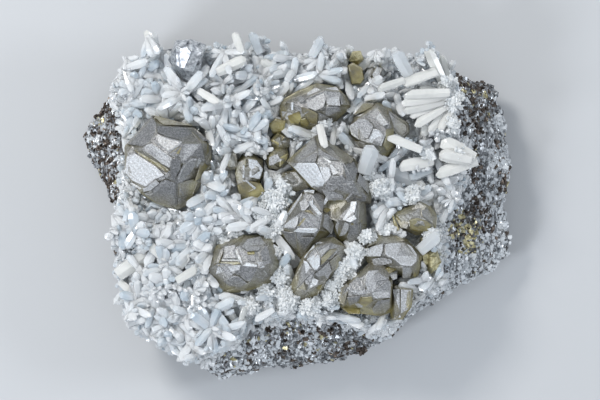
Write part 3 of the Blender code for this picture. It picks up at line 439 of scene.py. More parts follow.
GRAIN_FLOOR = 1.5  # there are none so near to the flat base
# How often each mineral is the grain that shows in the dark, the plain and the bright parts of the
# ore. They are bands about 5 mm wide, drawn out along the vein, where a noise is low or high.
BAND = 5.0
BAND_STRETCH = (1.4, 0.7, 1.0)
DARK_BELOW, BRIGHT_ABOVE = -0.05, 0.22
ORE_MIX = {
    "dark": {"galena": 0.34, "sphalerite": 0.6, "quartz": 0.03, "chalcopyrite": 0.03},
    "plain": {"galena": 0.66, "sphalerite": 0.18, "quartz": 0.12, "chalcopyrite": 0.04},
    "bright": {"galena": 0.58, "sphalerite": 0.02, "quartz": 0.37, "chalcopyrite": 0.03},
}
# The material of each mineral's grains, and the name of a slot for them, which nothing reads.
ORE_FINISHES = {
    "galena": ("ore_galena", "sulphide_rock"), "sphalerite": ("sphalerite", "sulphide_rock"),
    "quartz": ("vein_quartz", "quartz"), "chalcopyrite": ("chalcopyrite", "chalcopyrite"),
}


def linear(hexcode):
    """An sRGB colour such as "a0b0c0" as linear RGBA."""
    parts = [int(hexcode[i : i + 2], 16) / 255 for i in (0, 2, 4)]
    return (*(c / 12.92 if c <= 0.04045 else ((c + 0.055) / 1.055) ** 2.4 for c in parts), 1)


def add_node(material, kind, inputs=None, stops=(), **settings):
    """Adds a node to the material. An input is a value, or (node, output) that it links from, and
    the stops of a colour ramp are (position, hex colour)."""
    tree = material.node_tree
    made = tree.nodes.new(kind)
    for name, value in settings.items():
        setattr(made, name, value)
    for name, value in (inputs or {}).items():
        if isinstance(value, tuple) and isinstance(value[0], bpy.types.Node):
            tree.links.new(value[0].outputs[value[1]], made.inputs[name])
        else:
            made.inputs[name].default_value = value
    if stops:
        elements = made.color_ramp.elements
        elements[0].position, elements[1].position = stops[0][0], stops[-1][0]
        for position, _ in stops[1:-1]:
            elements.new(position)
        for element, (_, colour) in zip(elements, stops):
            element.color = linear(colour)
    return made


def new_material(name):
    """An empty material with its object coordinates, and the function that gives it its shader."""
    material = bpy.data.materials.new(name)
    material.use_nodes = True
    material.node_tree.nodes.clear()
    place = add_node(material, "ShaderNodeTexCoord")

    def finish(**sockets):
        """Adds the shader with these sockets, named with _ for a space. Returns the material."""
        inputs = {key.replace("_", " "): value for key, value in sockets.items()}
        shader = add_node(material, "ShaderNodeBsdfPrincipled", inputs)
        add_node(material, "ShaderNodeOutputMaterial", {"Surface": (shader, "BSDF")})
        return material

    return material, place, finish


def milky_quartz(name, clear, milk, transmission, scatter, roughness):
    """Milky vein quartz: tiny fluid bubbles make it white and a little blue inside, and its natural
    prism faces are glassy. IOR 1.544. The bubbles come in veils 3 mm across, and the faces have a
    faint etch of 0.4 mm."""
    veil, pit = MM / 0.33, MM / 2.6
    material, place, finish = new_material(name)
    shade = add_node(material, "ShaderNodeAttribute", attribute_name="shade")
    veils = add_node(
        material, "ShaderNodeTexNoise",
        {"Vector": (place, "Object"), "Scale": 1 / veil, "Detail": 3.0},
    )
    cloud = add_node(
        material, "ShaderNodeMath", {0: (veils, "Fac"), 1: (shade, "Fac")}, operation="ADD"
    )
    colour = add_node(
        material, "ShaderNodeValToRGB", {"Fac": (cloud, "Value")}, [(0.4, clear), (1.0, milk)]
    )
    etch = add_node(
        material, "ShaderNodeTexNoise",
        {"Vector": (place, "Object"), "Scale": 1 / pit, "Detail": 2.0},
    )
    bump = add_node(
        material, "ShaderNodeBump", {"Height": (etch, "Fac"), "Strength": 0.2, "Distance": 0.05 * MM}
    )
    return finish(
        Base_Color=(colour, "Color"), Roughness=roughness, IOR=1.544, Normal=(bump, "Normal"),
        Transmission_Weight=transmission, Subsurface_Weight=scatter, Subsurface_Scale=0.8 * MM,
        Subsurface_Radius=(1.0, 1.0, 1.0),
    )


def cleiophane():
    """Cleiophane, the pale zinc sulphide: honey-brown inside, with an adamantine shine (IOR 2.37).
    Its faces are finely frosted, so they look grey from the light that they scatter, with a speckle
    of etch pits 0.4 mm apart, partly painted sparkle. Each facet's tone is painted, from dark to
    pale: partly its etch, and partly painted highlight and shade for how that facet catches the
    light. Where a face is steep, and low down where the crystals are thin, the honey colour shows,
    in patches of 4 mm. Growth lines are 1.2 mm apart."""
    pit, patch, line_gap = MM / 2.6, MM / 0.26, 1.2092 * MM
    thick, thinnest = 34.5 * MM, 27 * MM
    material, place, finish = new_material("cleiophane_sphalerite")
    # The painted tone of each facet: partly its etch, partly painted highlight and shade.
    pale = add_node(material, "ShaderNodeAttribute", attribute_name="paleness")
    inside = add_node(material, "ShaderNodeAttribute", attribute_name="honey")
    frost = add_node(
        material, "ShaderNodeTexNoise",
        {"Vector": (place, "Object"), "Scale": 1 / pit, "Detail": 2.0, "Roughness": 0.7},
    )
    # The speckle of the frost, added to the tone: partly the etch's texture, partly painted sparkle.
    glitter = add_node(
        material, "ShaderNodeMapRange",
        {"Value": (frost, "Fac"), "From Min": 0.38, "From Max": 0.64, "To Max": 0.38},
    )
    shade = add_node(
        material, "ShaderNodeMath", {0: (pale, "Fac"), 1: 0.74, 2: (glitter, "Result")},
        operation="MULTIPLY_ADD",
    )
    grey = add_node(
        material, "ShaderNodeValToRGB", {"Fac": (shade, "Value")},
        [(0.0, "323335"), (0.25, "68696b"), (0.55, "a6a7a8"), (0.8, "c8ccd0"), (1.0, "dde5ec")],
    )
    patches = add_node(
        material, "ShaderNodeTexNoise",
        {"Vector": (place, "Object"), "Scale": 1 / patch, "Detail": 4.0},
    )
    honey = add_node(
        material, "ShaderNodeValToRGB", {"Fac": (patches, "Fac")},
        [(0.3, "4a4012"), (0.5, "7d7130"), (0.7, "a69c5c")],
    )
    split = add_node(material, "ShaderNodeSeparateXYZ", {"Vector": (place, "Normal")})
    wobble = add_node(
        material, "ShaderNodeMath", {0: (patches, "Fac"), 1: 0.5, 2: (split, "Z")},
        operation="MULTIPLY_ADD",
    )
    steep = add_node(
        material, "ShaderNodeMapRange",
        {"Value": (wobble, "Value"), "From Min": 0.7, "From Max": 0.4, "To Min": 0.0, "To Max": 0.55},
    )
    above = add_node(material, "ShaderNodeSeparateXYZ", {"Vector": (place, "Object")})
    thin = add_node(
        material, "ShaderNodeMapRange",
        {"Value": (above, "Z"), "From Min": thick, "From Max": thinnest, "To Min": 0.0, "To Max": 0.75},
    )
    outer = add_node(
        material, "ShaderNodeMath", {0: (steep, "Result"), 1: (thin, "Result")}, operation="MAXIMUM"
    )
    shown = add_node(
        material, "ShaderNodeMath", {0: (outer, "Value"), 1: (inside, "Fac")}, operation="ADD",
        use_clamp=True,
    )
    colour = add_node(
        material, "ShaderNodeMix",
        {0: (shown, "Value"), 6: (grey, "Color"), 7: (honey, "Color")}, data_type="RGBA",
    )
    # A diagonal wave of scale 1 has its crests tau / (10 sqrt 3) apart.
    lines = add_node(
        material, "ShaderNodeTexWave",
        {"Vector": (place, "Object"), "Scale": math.tau / (10 * math.sqrt(3) * line_gap),
         "Distortion": 1.2, "Detail": 2.0, "Detail Scale": 0.5},
        wave_type="BANDS", bands_direction="DIAGONAL",
    )
    relief = add_node(
        material, "ShaderNodeMath", {0: (lines, "Fac"), 1: 0.3, 2: (frost, "Fac")},
        operation="MULTIPLY_ADD",
    )
    bump = add_node(
        material, "ShaderNodeBump",
        {"Height": (relief, "Value"), "Strength": 0.8, "Distance": 0.2 * MM},
    )
    return finish(
        Base_Color=(colour, 2), Roughness=0.3, IOR=2.37, Normal=(bump, "Normal"),
    )


def metallic_sulphide(name, dark, bright, roughness, spot):
    """A metallic sulphide face: bright and sharp where it is fresh, and dark and dull where it is
    tarnished, in spots this many mm across."""
    material, place, finish = new_material(name)
    spots = add_node(
        material, "ShaderNodeTexNoise",
        {"Vector": (place, "Object"), "Scale": 1 / (spot * MM), "Detail": 4.0, "Roughness": 0.6},
    )
    colour = add_node(
        material, "ShaderNodeValToRGB", {"Fac": (spots, "Fac")}, [(0.35, dark), (0.65, bright)]
    )
    dull = add_node(
        material, "ShaderNodeMapRange",
        {"Value": (spots, "Fac"), "To Min": roughness + 0.25, "To Max": roughness - 0.05},
    )
    bump = add_node(
        material, "ShaderNodeBump", {"Height": (spots, "Fac"), "Strength": 0.4, "Distance": 0.1 * MM}
    )
    return finish(
        Base_Color=(colour, "Color"), Roughness=(dull, "Result"), Metallic=1.0,
        Normal=(bump, "Normal"),
    )


def broken_ore():
    """Broken ore: fine dark sulphides with a broken metallic glint, drawn out in streaks along the
    vein, clouded with grey quartz and stained brown. Its minerals are in patches of 4 mm, and its
    grains are 0.5 mm across and three times as long."""
    patch, grain = 4 * MM, 0.5 * MM
    material, place, finish = new_material("broken_sulphide_ore")
    streaks = add_node(
        material, "ShaderNodeMapping",
        {"Vector": (place, "Object"), "Rotation": (0.2, 0.1, 0.5), "Scale": (1.0, 0.35, 0.8)},
    )
    patches = add_node(
        material, "ShaderNodeTexNoise",
        {"Vector": (streaks, "Vector"), "Scale": 1 / patch, "Detail": 6.0, "Roughness": 0.7},
    )
    grains = add_node(
        material, "ShaderNodeTexVoronoi", {"Vector": (streaks, "Vector"), "Scale": 1 / grain}
    )
    mixed = add_node(
        material, "ShaderNodeMath", {0: (grains, "Color"), 1: 0.36, 2: (patches, "Fac")},
        operation="MULTIPLY_ADD",
    )
    colour = add_node(
        material, "ShaderNodeValToRGB", {"Fac": (mixed, "Value")},
        [(0.43, "282523"), (0.55, "585450"), (0.63, "828488"), (0.71, "b0b4b8"), (0.82, "e8ebed")],
    )
    metal = add_node(
        material, "ShaderNodeMapRange",
        {"Value": (grains, "Color"), "From Min": 0.45, "From Max": 0.55, "To Max": 0.8},
    )
    gloss = add_node(
        material, "ShaderNodeMapRange", {"Value": (grains, "Color"), "To Min": 0.5, "To Max": 0.25}
    )
    bump = add_node(
        material, "ShaderNodeBump",
        {"Height": (grains, "Distance"), "Strength": 0.8, "Distance": 0.4 * MM},
    )
    return finish(
        Base_Color=(colour, "Color"), Roughness=(gloss, "Result"), Metallic=(metal, "Result"),
        Normal=(bump, "Normal"),
    )


def pale_floor():
    """A sheet of matt pale card under the specimen, with a fine tooth of 0.5 mm."""
    tooth = 0.5 * MM
    material, place, finish = new_material("pale_matt_card")
    grain = add_node(
        material, "ShaderNodeTexNoise", {"Vector": (place, "Object"), "Scale": 1 / tooth}
    )
    bump = add_node(
        material, "ShaderNodeBump", {"Height": (grain, "Fac"), "Strength": 0.1, "Distance": 0.05 * MM}
    )
    return finish(Base_Color=linear("c4c6c8"), Roughness=0.9, Normal=(bump, "Normal"))


def make_materials():
    """Every material of the specimen, and the floor's."""
    return {
        "quartz": milky_quartz(
            "milky_quartz", "c9d5de", "f4f7f9", transmission=0.28, scatter=0.6, roughness=0.12
        ),
        "quartz_large_white": milky_quartz(
            "white_quartz", "e0e1de", "f5f5f1", transmission=0.26, scatter=0.65, roughness=0.1
        ),
        "quartz_large_clear": milky_quartz(
            "cloudy_quartz", "d8e0e6", "eff3f6", transmission=0.5, scatter=0.7, roughness=0.08
        ),
        "sugar": milky_quartz(
            "sugar_quartz", "cdd2d5", "e1e3e3", transmission=0.0, scatter=0.0, roughness=0.35
        ),
        "vein_quartz": milky_quartz(
            "grey_vein_quartz", "cacfd3", "f2f4f5", transmission=0.0, scatter=0.3, roughness=0.2
        ),
        "cleiophane": cleiophane(),
        "galena": metallic_sulphide("galena", "9a9ea4", "f4f6f8", roughness=0.36, spot=1.0),
        "ore_galena": metallic_sulphide(
            "galena_in_ore", "4c4f53", "c4c7ca", roughness=0.34, spot=1.2
        ),
        "chalcopyrite": metallic_sulphide(
            "chalcopyrite", "aba27a", "eee7c2", roughness=0.4, spot=0.9
        ),
        "sphalerite": metallic_sulphide(
            "dark_sphalerite", "2e2825", "80756c", roughness=0.32, spot=0.8
        ),
        "ore": broken_ore(),
        "floor": pale_floor(),
    }


def mesh_of(name, bm):
    """The bmesh as a mesh of this name. The bmesh is freed."""
    mesh = bpy.data.meshes.new(name)
    bm.to_mesh(mesh)
    bm.free()
    return mesh


def finish_piece(name, bm, material, slot, *nodes):
    """Makes the bmesh, in metres, a finished piece that stands for the given CAD nodes."""
    mesh = mesh_of(name, bm)
    mesh.materials.append(material)
    piece = bpy.data.objects.new(name, mesh)
    bpy.context.scene.collection.objects.link(piece)
    if nodes:
        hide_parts(*nodes)
    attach(piece, BODY)
    return piece


def merged_copy(node):
    """A node's mesh with its loose triangles merged, and its flat facets whole again."""
    bm = bmesh.new()
    bm.from_mesh(node.data)
    bmesh.ops.remove_doubles(bm, verts=bm.verts, dist=1e-6)
    bmesh.ops.dissolve_limit(
        bm, angle_limit=math.radians(1), use_dissolve_boundaries=False, verts=bm.verts, edges=bm.edges
    )
    return bm


def tree_of(objects):
    """A search tree over these objects' meshes, for rays."""
    bm = bmesh.new()
    for obj in objects:
        bm.from_mesh(obj.data)
    tree = BVHTree.FromBMesh(bm)
    bm.free()
    return tree


def drop_ray(tree, x, y):
    """What a ray straight down at (x, y), in mm, meets first: place, normal, face and depth."""
    return tree.ray_cast(Vector((x * MM, y * MM, RAY_TOP * MM)), -UP)


def loose_vector(rng):
    """A vector that points anywhere."""
    return Vector((rng.gauss(0, 1), rng.gauss(0, 1), rng.gauss(0, 1)))


def side_step(rng, normal):
    """A random unit vector that lies in the plane of this normal."""
    loose = loose_vector(rng)
    return (loose - normal * loose.dot(normal)).normalized()


def only(kind, items):
    """Those of an operator's results that are of this kind."""
    return [item for item in items if isinstance(item, kind)]


def cut_off(bm, place, outward):
    """Cuts off what lies beyond the plane at this place, and closes the cut with a flat face."""
    cut = bmesh.ops.bisect_plane(
        bm, geom=bm.verts[:] + bm.edges[:] + bm.faces[:], dist=1e-5, plane_co=place,
        plane_no=outward, clear_outer=True,
    )["geom_cut"]
    rim = only(bmesh.types.BMEdge, cut)
    if len(rim) > 2:
        bmesh.ops.edgeloop_fill(bm, edges=rim)


def put_shade(bm, shade):
    """Gives each point of a quartz bmesh the shade that its material reads, from 0, clear, to 1,
    milky. It may be a function of the point's height."""
    layer = bm.verts.layers.float.new("shade")
    for vertex in bm.verts:
        vertex[layer] = shade(vertex.co.z) if callable(shade) else shade


class Skin:
    """The two numbers that the cleiophane's material reads from each face of a bmesh: its painted
    tone, partly etch and partly painted highlight and shade, and how much honey shows.
    """

    def __init__(self, bm):
        self.paleness = bm.faces.layers.float.new("paleness")
        self.honey = bm.faces.layers.float.new("honey")

    def put(self, face, finish):
        """Gives the face one of the facet tones, with their painted highlight and shade."""
        face[self.paleness], face[self.honey] = FACET_TONES_AND_PAINTED_LIGHT[finish]


def height_at(tree, x, y):
    """The crystal's height at (x, y), in metres, or that of its nearest point."""
    place = drop_ray(tree, x, y)[0]
    return (place or tree.find_nearest(Vector((x * MM, y * MM, CRYSTAL_HEIGHT * MM)))[0]).z


def grow_block(bm, outline, top_of):
    """A block on this outline, a list of places. top_of gives the place of the top's corner over a
    place. Returns its faces, the top one first and the foot second."""
    foot = bm.faces.new([bm.verts.new(spot) for spot in outline])
    grown = bmesh.ops.extrude_face_region(bm, geom=[foot])["geom"]
    raised = only(bmesh.types.BMVert, grown)
    for vertex in raised:
        vertex.co = top_of(vertex.co)
    top = only(bmesh.types.BMFace, grown)[0]
    around = [face for vertex in raised for face in vertex.link_faces if face != top]
    faces = [top, foot, *dict.fromkeys(around)]
    bmesh.ops.recalc_face_normals(bm, faces=faces)
    return faces


def facet_block(bm, tree, corners, rise):
    """A block with this outline and a flat top that lies on the crystal, just proud of it. Returns
    its faces, the top one first and the foot second."""
    spots = [Vector((x * MM, y * MM, height_at(tree, x, y))) for x, y in corners]
    middle = sum(spots, Vector()) / len(spots)
    slope = Vector()
    for spot, following in zip(spots, spots[1:] + spots[:1]):
        slope += (spot - middle).cross(following - middle)
    slope = slope.normalized() * (1 if slope.z > 0 else -1)
    slope = Vector((slope.x, slope.y, max(slope.z, LEAST_LEVEL))).normalized()

    def level(place):
        """The height, at this place, of the plane through the outline's middle."""
        along = slope.x * (place.x - middle.x) + slope.y * (place.y - middle.y)
        return middle.z - along / slope.z

    inner = [middle] + [middle.lerp(spot, 0.6) for spot in spots]
    proud = max(height_at(tree, place.x / MM, place.y / MM) - level(place) for place in inner)
    lift = min(max(proud, 0), FACET_LIFT * MM) + rise
    lowest = min(spot.z for spot in spots) - FACET_DEPTH * MM
    outline = [Vector((spot.x, spot.y, lowest)) for spot in spots]
    return grow_block(bm, outline, lambda place: Vector((place.x, place.y, level(place) + lift)))


def crystal_block(bm, corners, height, fall):
    """A small crystal with this outline: sides that lean in, and a tilted top. Returns its top."""
    middle = Vector((sum(x for x, _ in corners), sum(y for _, y in corners))) / len(corners)

    def top_of(place):
        x, y = place.x / MM, place.y / MM
        right, back = x - middle.x, y - middle.y
        top = height - (fall[0] * right - fall[1] * back)
        return Vector((x - SMALL_CRYSTAL_TAPER * right, y - SMALL_CRYSTAL_TAPER * back, top)) * MM

    outline = [Vector((x * MM, y * MM, SMALL_CRYSTAL_FOOT * MM)) for x, y in corners]
    return grow_block(bm, outline, top_of)[0]


def grow_small_crystals(mineral, material, rng):
    """The smaller crystals of one mineral, with growth steps and worn edges."""
    bm = bmesh.new()
    skin = Skin(bm)
    tops = []
    for kind, finish, height, fall, corners in SMALL_CRYSTALS:
        if kind == mineral:
            tops.append((crystal_block(bm, corners, height, fall), finish))
    for face in bm.faces:
        skin.put(face, "honey")
    # Each top's tone is painted: partly etch, partly painted highlight and shade.
    for top, finish in tops:
        skin.put(top, finish)
    grow_terraces(bm, rng, [top for top, _ in tops] * 2, skin)
    wear_edges(bm, SMALL_CRYSTAL_WEAR)
    return finish_piece(f"small_{mineral}_crystals", bm, material, mineral)


def bevel_edges(bm, edges, width):
    """Takes this much off the edges."""
    bmesh.ops.bevel(
        bm, geom=edges, offset=width, offset_type="OFFSET", segments=1, profile=0.5,
        affect="EDGES", material=-1, clamp_overlap=True,
    )


def wear_edges(bm, width):
    """Takes this much, in mm, off every edge where the surface turns by more than 20 degrees."""
    sharp = [edge for edge in bm.edges if edge.calc_face_angle(0) > SHARP]
    bevel_edges(bm, sharp, width * MM)


def grow_terraces(bm, rng, facets, skin):
    """Growth steps: most facets carry one or two flat plates, each set off to one side."""
    for facet in facets:
        reach = facet.calc_area() / facet.calc_perimeter()
        if reach < STEP_LEAST_REACH * MM:
            continue
        for _ in range(rng.choice((1, 2, 2))):
            rim = reach * rng.uniform(*STEP_RIM)
            rise = rng.choice((1, 1, -1)) * rng.uniform(*STEP_HEIGHT) * MM
            bmesh.ops.inset_individual(bm, faces=[facet], thickness=rim, depth=rise)
            shift = side_step(rng, facet.normal) * rim * 0.5
            bmesh.ops.translate(bm, vec=shift, verts=facet.verts)
            paleness = facet[skin.paleness] + rng.uniform(-STEP_PALENESS, STEP_PALENESS)
            facet[skin.paleness] = min(1, max(0, paleness))


def dress_crystal(name, node, material, slot, rng):
    """A frame crystal with its small facets, growth steps and worn edges."""
    bm = merged_copy(node)
    tree = BVHTree.FromBMesh(bm)
    skin = Skin(bm)
    # Tops and steep sides, then each listed facet, get a painted tone: partly etch, partly painted highlight
    # and shade.
    for facet in bm.faces:
        skin.put(facet, "dim" if facet.normal.z > 0.6 else "rim")
    tops = [facet for facet in bm.faces if facet.normal.z > 0.2]
    for finish, corners in FACETS.get(name, ()):
        top, _, *sides = facet_block(bm, tree, corners, rng.uniform(*FACET_RISE) * MM)
        skin.put(top, finish)
        for side in sides:
            skin.put(side, "honey")
        tops.append(top)
    grow_terraces(bm, rng, tops, skin)
    wear_edges(bm, EDGE_WEAR)
    return finish_piece(f"{name}_grown", bm, material, slot, name)


def quartz_prototype(rng, name, shape, milk):
    """A quartz point of this shape with its foot at the origin: a flattened six-sided prism, widest
    above its middle, cut by three large and three small end faces. It is milkiest at its foot."""
    length = shape["length"]
    bm = bmesh.new()
    bmesh.ops.create_cone(
        bm, cap_ends=True, segments=6, radius1=PRISM_RADIUS * shape["foot"],
        radius2=PRISM_RADIUS * shape["tip"], depth=length, matrix=Matrix.Translation(UP * length / 2),
    )
    ribs = [edge for edge in bm.edges if abs(edge.verts[0].co.z - edge.verts[1].co.z) > 0.5]
    widest = bmesh.ops.subdivide_edges(bm, edges=ribs, cuts=1)["geom_inner"]
    for vertex in set(only(bmesh.types.BMVert, widest)):
        out = PRISM_RADIUS / math.hypot(vertex.co.x, vertex.co.y)
        vertex.co = Vector((vertex.co.x * out, vertex.co.y * out, WIDEST_AT * length))
    bmesh.ops.scale(bm, vec=(1, rng.uniform(*PRISM_THICKNESS), 1), verts=bm.verts)
    upper = [face for face in bm.faces if face.calc_center_median().z > 0.7 * length]
    sides = [face.normal.copy() for face in upper if abs(face.normal.z) < 0.5]
    for index, side in enumerate(sides):
        small = index % 2
        lift = rng.uniform(0.1, 0.3) if small else rng.uniform(-0.12, 0)
        flat = Vector((side.x, side.y, 0)).normalized()
        outward = flat * math.cos(END_FACE_ANGLE) + UP * math.sin(END_FACE_ANGLE)
        cut_off(bm, UP * (length + lift), outward)
    if shape["bevel"]:
        above_foot = [edge for edge in bm.edges if max(end.co.z for end in edge.verts) > 0.01]
        bevel_edges(bm, above_foot, shape["bevel"])
    bmesh.ops.recalc_face_normals(bm, faces=bm.faces)
    put_shade(bm, lambda height: milk + 0.3 * (0.5 - height / length))
    return mesh_of(name, bm)


def prototypes(rng, name):
    """Quartz points of one of the POINT_SHAPES, the first the clearest and the last the milkiest."""
    shape = POINT_SHAPES[name]
    last = shape["count"] - 1
    return [
        quartz_prototype(rng, f"{name}_{index}", shape, index / last) for index in range(last + 1)
    ]


def stand(foot, axis, width, length_factor, spin):
    """The matrix that stands a prototype of unit width on foot, along axis. At no spin, its broad
    side is up."""
    turn = axis.to_track_quat("Z", "Y").to_matrix().to_4x4() @ Matrix.Rotation(spin, 4, "Z")
    size = Matrix.Diagonal((width * MM, width * MM, width * length_factor * MM, 1))
    return Matrix.Translation(foot) @ turn @ size


def stand_point(model, foot, axis, width, length, spin):
    """The matrix that stands this quartz point on foot, along axis, this wide and this long."""
    natural = max(vertex.co.z for vertex in model.vertices)
    return stand(foot, axis, width, length / (width * natural), spin)


def stamped(copies):
    """One bmesh of all the copies, each a prototype and its matrix."""
    bm = bmesh.new()
    for prototype, matrix in copies:
        copy = prototype.copy()
        copy.transform(matrix)
        bm.from_mesh(copy)
        bpy.data.meshes.remove(copy)
    return bm


def discard(models):
    """Removes the meshes that were only copied."""
    for model in models:
        bpy.data.meshes.remove(model)


def jittered_places(rng, spacing, low, high):
    """Places on a staggered grid over a box in plan, each moved a little."""
    rows = int((high.y - low.y) / (spacing * 0.87)) + 1
    columns = int((high.x - low.x) / spacing) + 1
    for row in range(rows):
        for column in range(columns):
            x = low.x + (column + (row % 2) / 2 + rng.uniform(-0.4, 0.4)) * spacing
            y = low.y + (row + rng.uniform(-0.4, 0.4)) * spacing * 0.87
            yield x, y


class Ground:
    """The crust between the crystals: where a quartz point can stand, and which way it would grow."""

    def __init__(self, nodes, small_crystals, mounds):
        crystals = [obj for name, obj in nodes.items() if name not in ("quartz_druse", "sulphide_rock")]
        self.low, self.high = (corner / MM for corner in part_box("quartz_druse"))
        self.druse = tree_of([nodes["quartz_druse"]])
        self.rock = tree_of([nodes["sulphide_rock"]])
        self.crystals = tree_of(crystals + small_crystals)
        self.others = tree_of([*crystals, *small_crystals, nodes["sulphide_rock"]])
        self.mounds = tree_of([mounds])

    def at(self, x, y):
        """The crust's place and normal at (x, y), if it is open there and not too steep."""
        place, normal, _, depth = drop_ray(self.druse, x, y)
        if place is None or normal.z < CRUST_LEVEL or place.z > CRUST_TOP * MM:
            return None
        above = drop_ray(self.others, x, y)[3]
        if above is not None and above < depth:
            return None
        return place, normal

    def on_mound(self, x, y):
        """The place and normal on a mound of sugar at (x, y), if no crystal is over it."""
        place, normal, _, depth = drop_ray(self.mounds, x, y)
        above = drop_ray(self.crystals, x, y)[3]
        if place is None or (above is not None and above < depth + 0.3 * MM):
            return None
        return place, normal

    def clear(self, foot, reach):
        """Whether a point that reaches this far from its foot keeps off the crystals, the large
        points and the mounds, and ends over the crust."""
        tip = foot + reach
        for spot in (foot + reach * 0.65, tip):
            if self.crystals.ray_cast(spot, -UP)[0] is not None:
                return False
        if under_large_point(tip.x / MM, tip.y / MM) or self.mounds.ray_cast(tip, -UP)[0] is not None:
            return False
        return self.druse.ray_cast(tip, -UP)[0] is not None


def in_stubby_part(x, y):
    """Whether the quartz points here are stubby ones."""
    return x < STUBBY_RIGHT and y < STUBBY_TOP


def under_large_point(x, y):
    """Whether a large point lies over this place."""
    for foot_x, foot_y, tip_x, tip_y, _, width, _ in LARGE_POINTS:
        for share in (0.2, 0.4, 0.6, 0.8, 0.95):
            over_x, over_y = foot_x + (tip_x - foot_x) * share, foot_y + (tip_y - foot_y) * share
            if math.hypot(x - over_x, y - over_y) < 0.1 + width / 2:
                return True
    return False


def open_places(rng, ground, spacing, keep):
    """Places and normals all over the crust's open top, where keep says so."""
    for x, y in jittered_places(rng, spacing, ground.low, ground.high):
        found = ground.at(x, y)
        if found and keep(x, y, found[0]):
            yield found


def side_places(rng, ground, mesh, spacing):
    """Places and normals on the crust's steep outer sides, where the rock doesn't cover them."""
    for face in mesh.polygons:
        if abs(face.normal.z) > SIDE_LEVEL or face.center.z > SIDE_TOP * MM:
            continue
        if rng.random() > face.area / (spacing * MM) ** 2:
            continue
        outside = face.center + face.normal * 1.2 * MM
        if ground.rock.ray_cast(outside, face.normal, 8 * MM)[0] is None:
            yield face.center, face.normal


def grow_sheaves(rng, ground, kind, models, places, inside=False):
    """Copies of the models, in a sheaf at each place. A sheaf leans to one side and has much the
    same milkiness all over. Where inside is set, no point hangs down, and each keeps clear."""
    for middle, normal in places:
        tilt = side_step(rng, UP) * rng.uniform(*kind["tilt"])
        base = (normal + UP * 0.6 + tilt).normalized()
        side = side_step(rng, base)
        other = base.cross(side)
        count = rng.randint(*kind["count"])
        growth, milk = rng.uniform(*SHEAF_GROWTH), rng.random()
        lift = rng.uniform(*kind["lift"])
        low, high = kind["lean"]
        for index in range(count):
            turn = (index + rng.uniform(-0.4, 0.4)) * math.tau / count
            lean = math.radians(low + (high - low) * math.sqrt(rng.random()))
            out = side * math.cos(turn) + other * math.sin(turn)
            axis = out * math.sin(lean) + base * math.cos(lean)
            axis.z = max(axis.z, 0.02 if inside else -1)
            axis.normalize()
            length = rng.uniform(*kind["length"]) * growth
            width = rng.uniform(*kind["width"])
            step = rng.uniform(0, kind["spread"])
            foot = middle + (out * step + base * lift - axis * length * 0.1) * MM
            if inside and not ground.clear(foot, axis * length * MM):
                continue
            pick = SHEAF_MILK * milk + (1 - SHEAF_MILK) * rng.random()
            model = models[round(pick * (len(models) - 1))]
            yield model, stand_point(model, foot, axis, width, length, rng.gauss(0, 0.4))


def large_points(rng, ground, models, milky):
    """Copies of the models at LARGE_POINTS, the milky or the clear ones, with their feet in the
    crust."""
    for x, y, tip_x, tip_y, rise, width, milk in LARGE_POINTS:
        if milk != milky:
            continue
        axis = Vector((tip_x - x, tip_y - y, rise)) * MM
        foot = Vector((x * MM, y * MM, 0))
        for share in (0, 0.25, 0.5, 0.75, 1):
            under = drop_ray(ground.druse, x + (tip_x - x) * share, y + (tip_y - y) * share)[0]
            if under is not None:
                foot.z = max(foot.z, under.z + (LARGE_CLEARANCE - rise * share) * MM)
        model = rng.choice(models)
        yield model, stand_point(model, foot, axis, width, axis.length / MM, rng.gauss(0, 0.3))


def make_mounds(material):
    """The mounds under the sugar, as lumpy domes that go down into the crust."""
    bm = bmesh.new()
    for x, y, radius, top in SUGAR_MOUNDS:
        depth = radius * MOUND_DEPTH
        shape = Matrix.Translation((x * MM, y * MM, (top - depth) * MM)) @ Matrix.Diagonal(
            (radius * MM, radius * MM, depth * MM, 1)
        )
        bmesh.ops.create_icosphere(bm, subdivisions=3, radius=1, matrix=shape)
    bm.normal_update()
    for vertex, normal in [(vertex, vertex.normal.copy()) for vertex in bm.verts]:
        vertex.co += normal * (crag(vertex.co, *MOUND_LUMPS) - 0.5 * MM)
    put_shade(bm, 1.0)
    return finish_piece("quartz_mounds", bm, material, "quartz")


def mound_places(rng, ground, spacing):
    """Places and normals on the mounds."""
    for x, y in jittered_places(rng, spacing, ground.low, ground.high):
        found = ground.on_mound(x, y)
        if found:
            yield found


def crag(place, size, height):
    """Broken relief at this place: humps this far apart and this high, in mm, with creases between
    them."""
    nearest, second = noise.voronoi(Vector(place) / (size * MM))[0][:2]
    return height * MM * (second - nearest - 0.3)


def break_up(bm, finest, relief, buried):
    """Splits a bmesh's edges down to about this length, and moves its points by the relief, a list
    of crag sizes and heights. Where buried says so, nothing is raised. Its base stays flat."""
    bmesh.ops.triangulate(bm, faces=bm.faces)
    for _ in range(3):
        long_edges = [e for e in bm.edges if e.calc_length() > finest * MM]
        bmesh.ops.subdivide_edges(bm, edges=long_edges, cuts=1)
        bmesh.ops.triangulate(bm, faces=bm.faces)
    bm.normal_update()
    moves = []
    for vertex in bm.verts:
        if vertex.co.z < 0.2 * MM:
            continue
        rise = sum(crag(vertex.co, size, height) for size, height in relief)
        if buried(vertex.co):
            rise = min(rise, 0)
        moves.append((vertex, vertex.normal * rise))
    for vertex, move in moves:
        vertex.co += move
        vertex.co.z = max(vertex.co.z, 0.1 * MM)


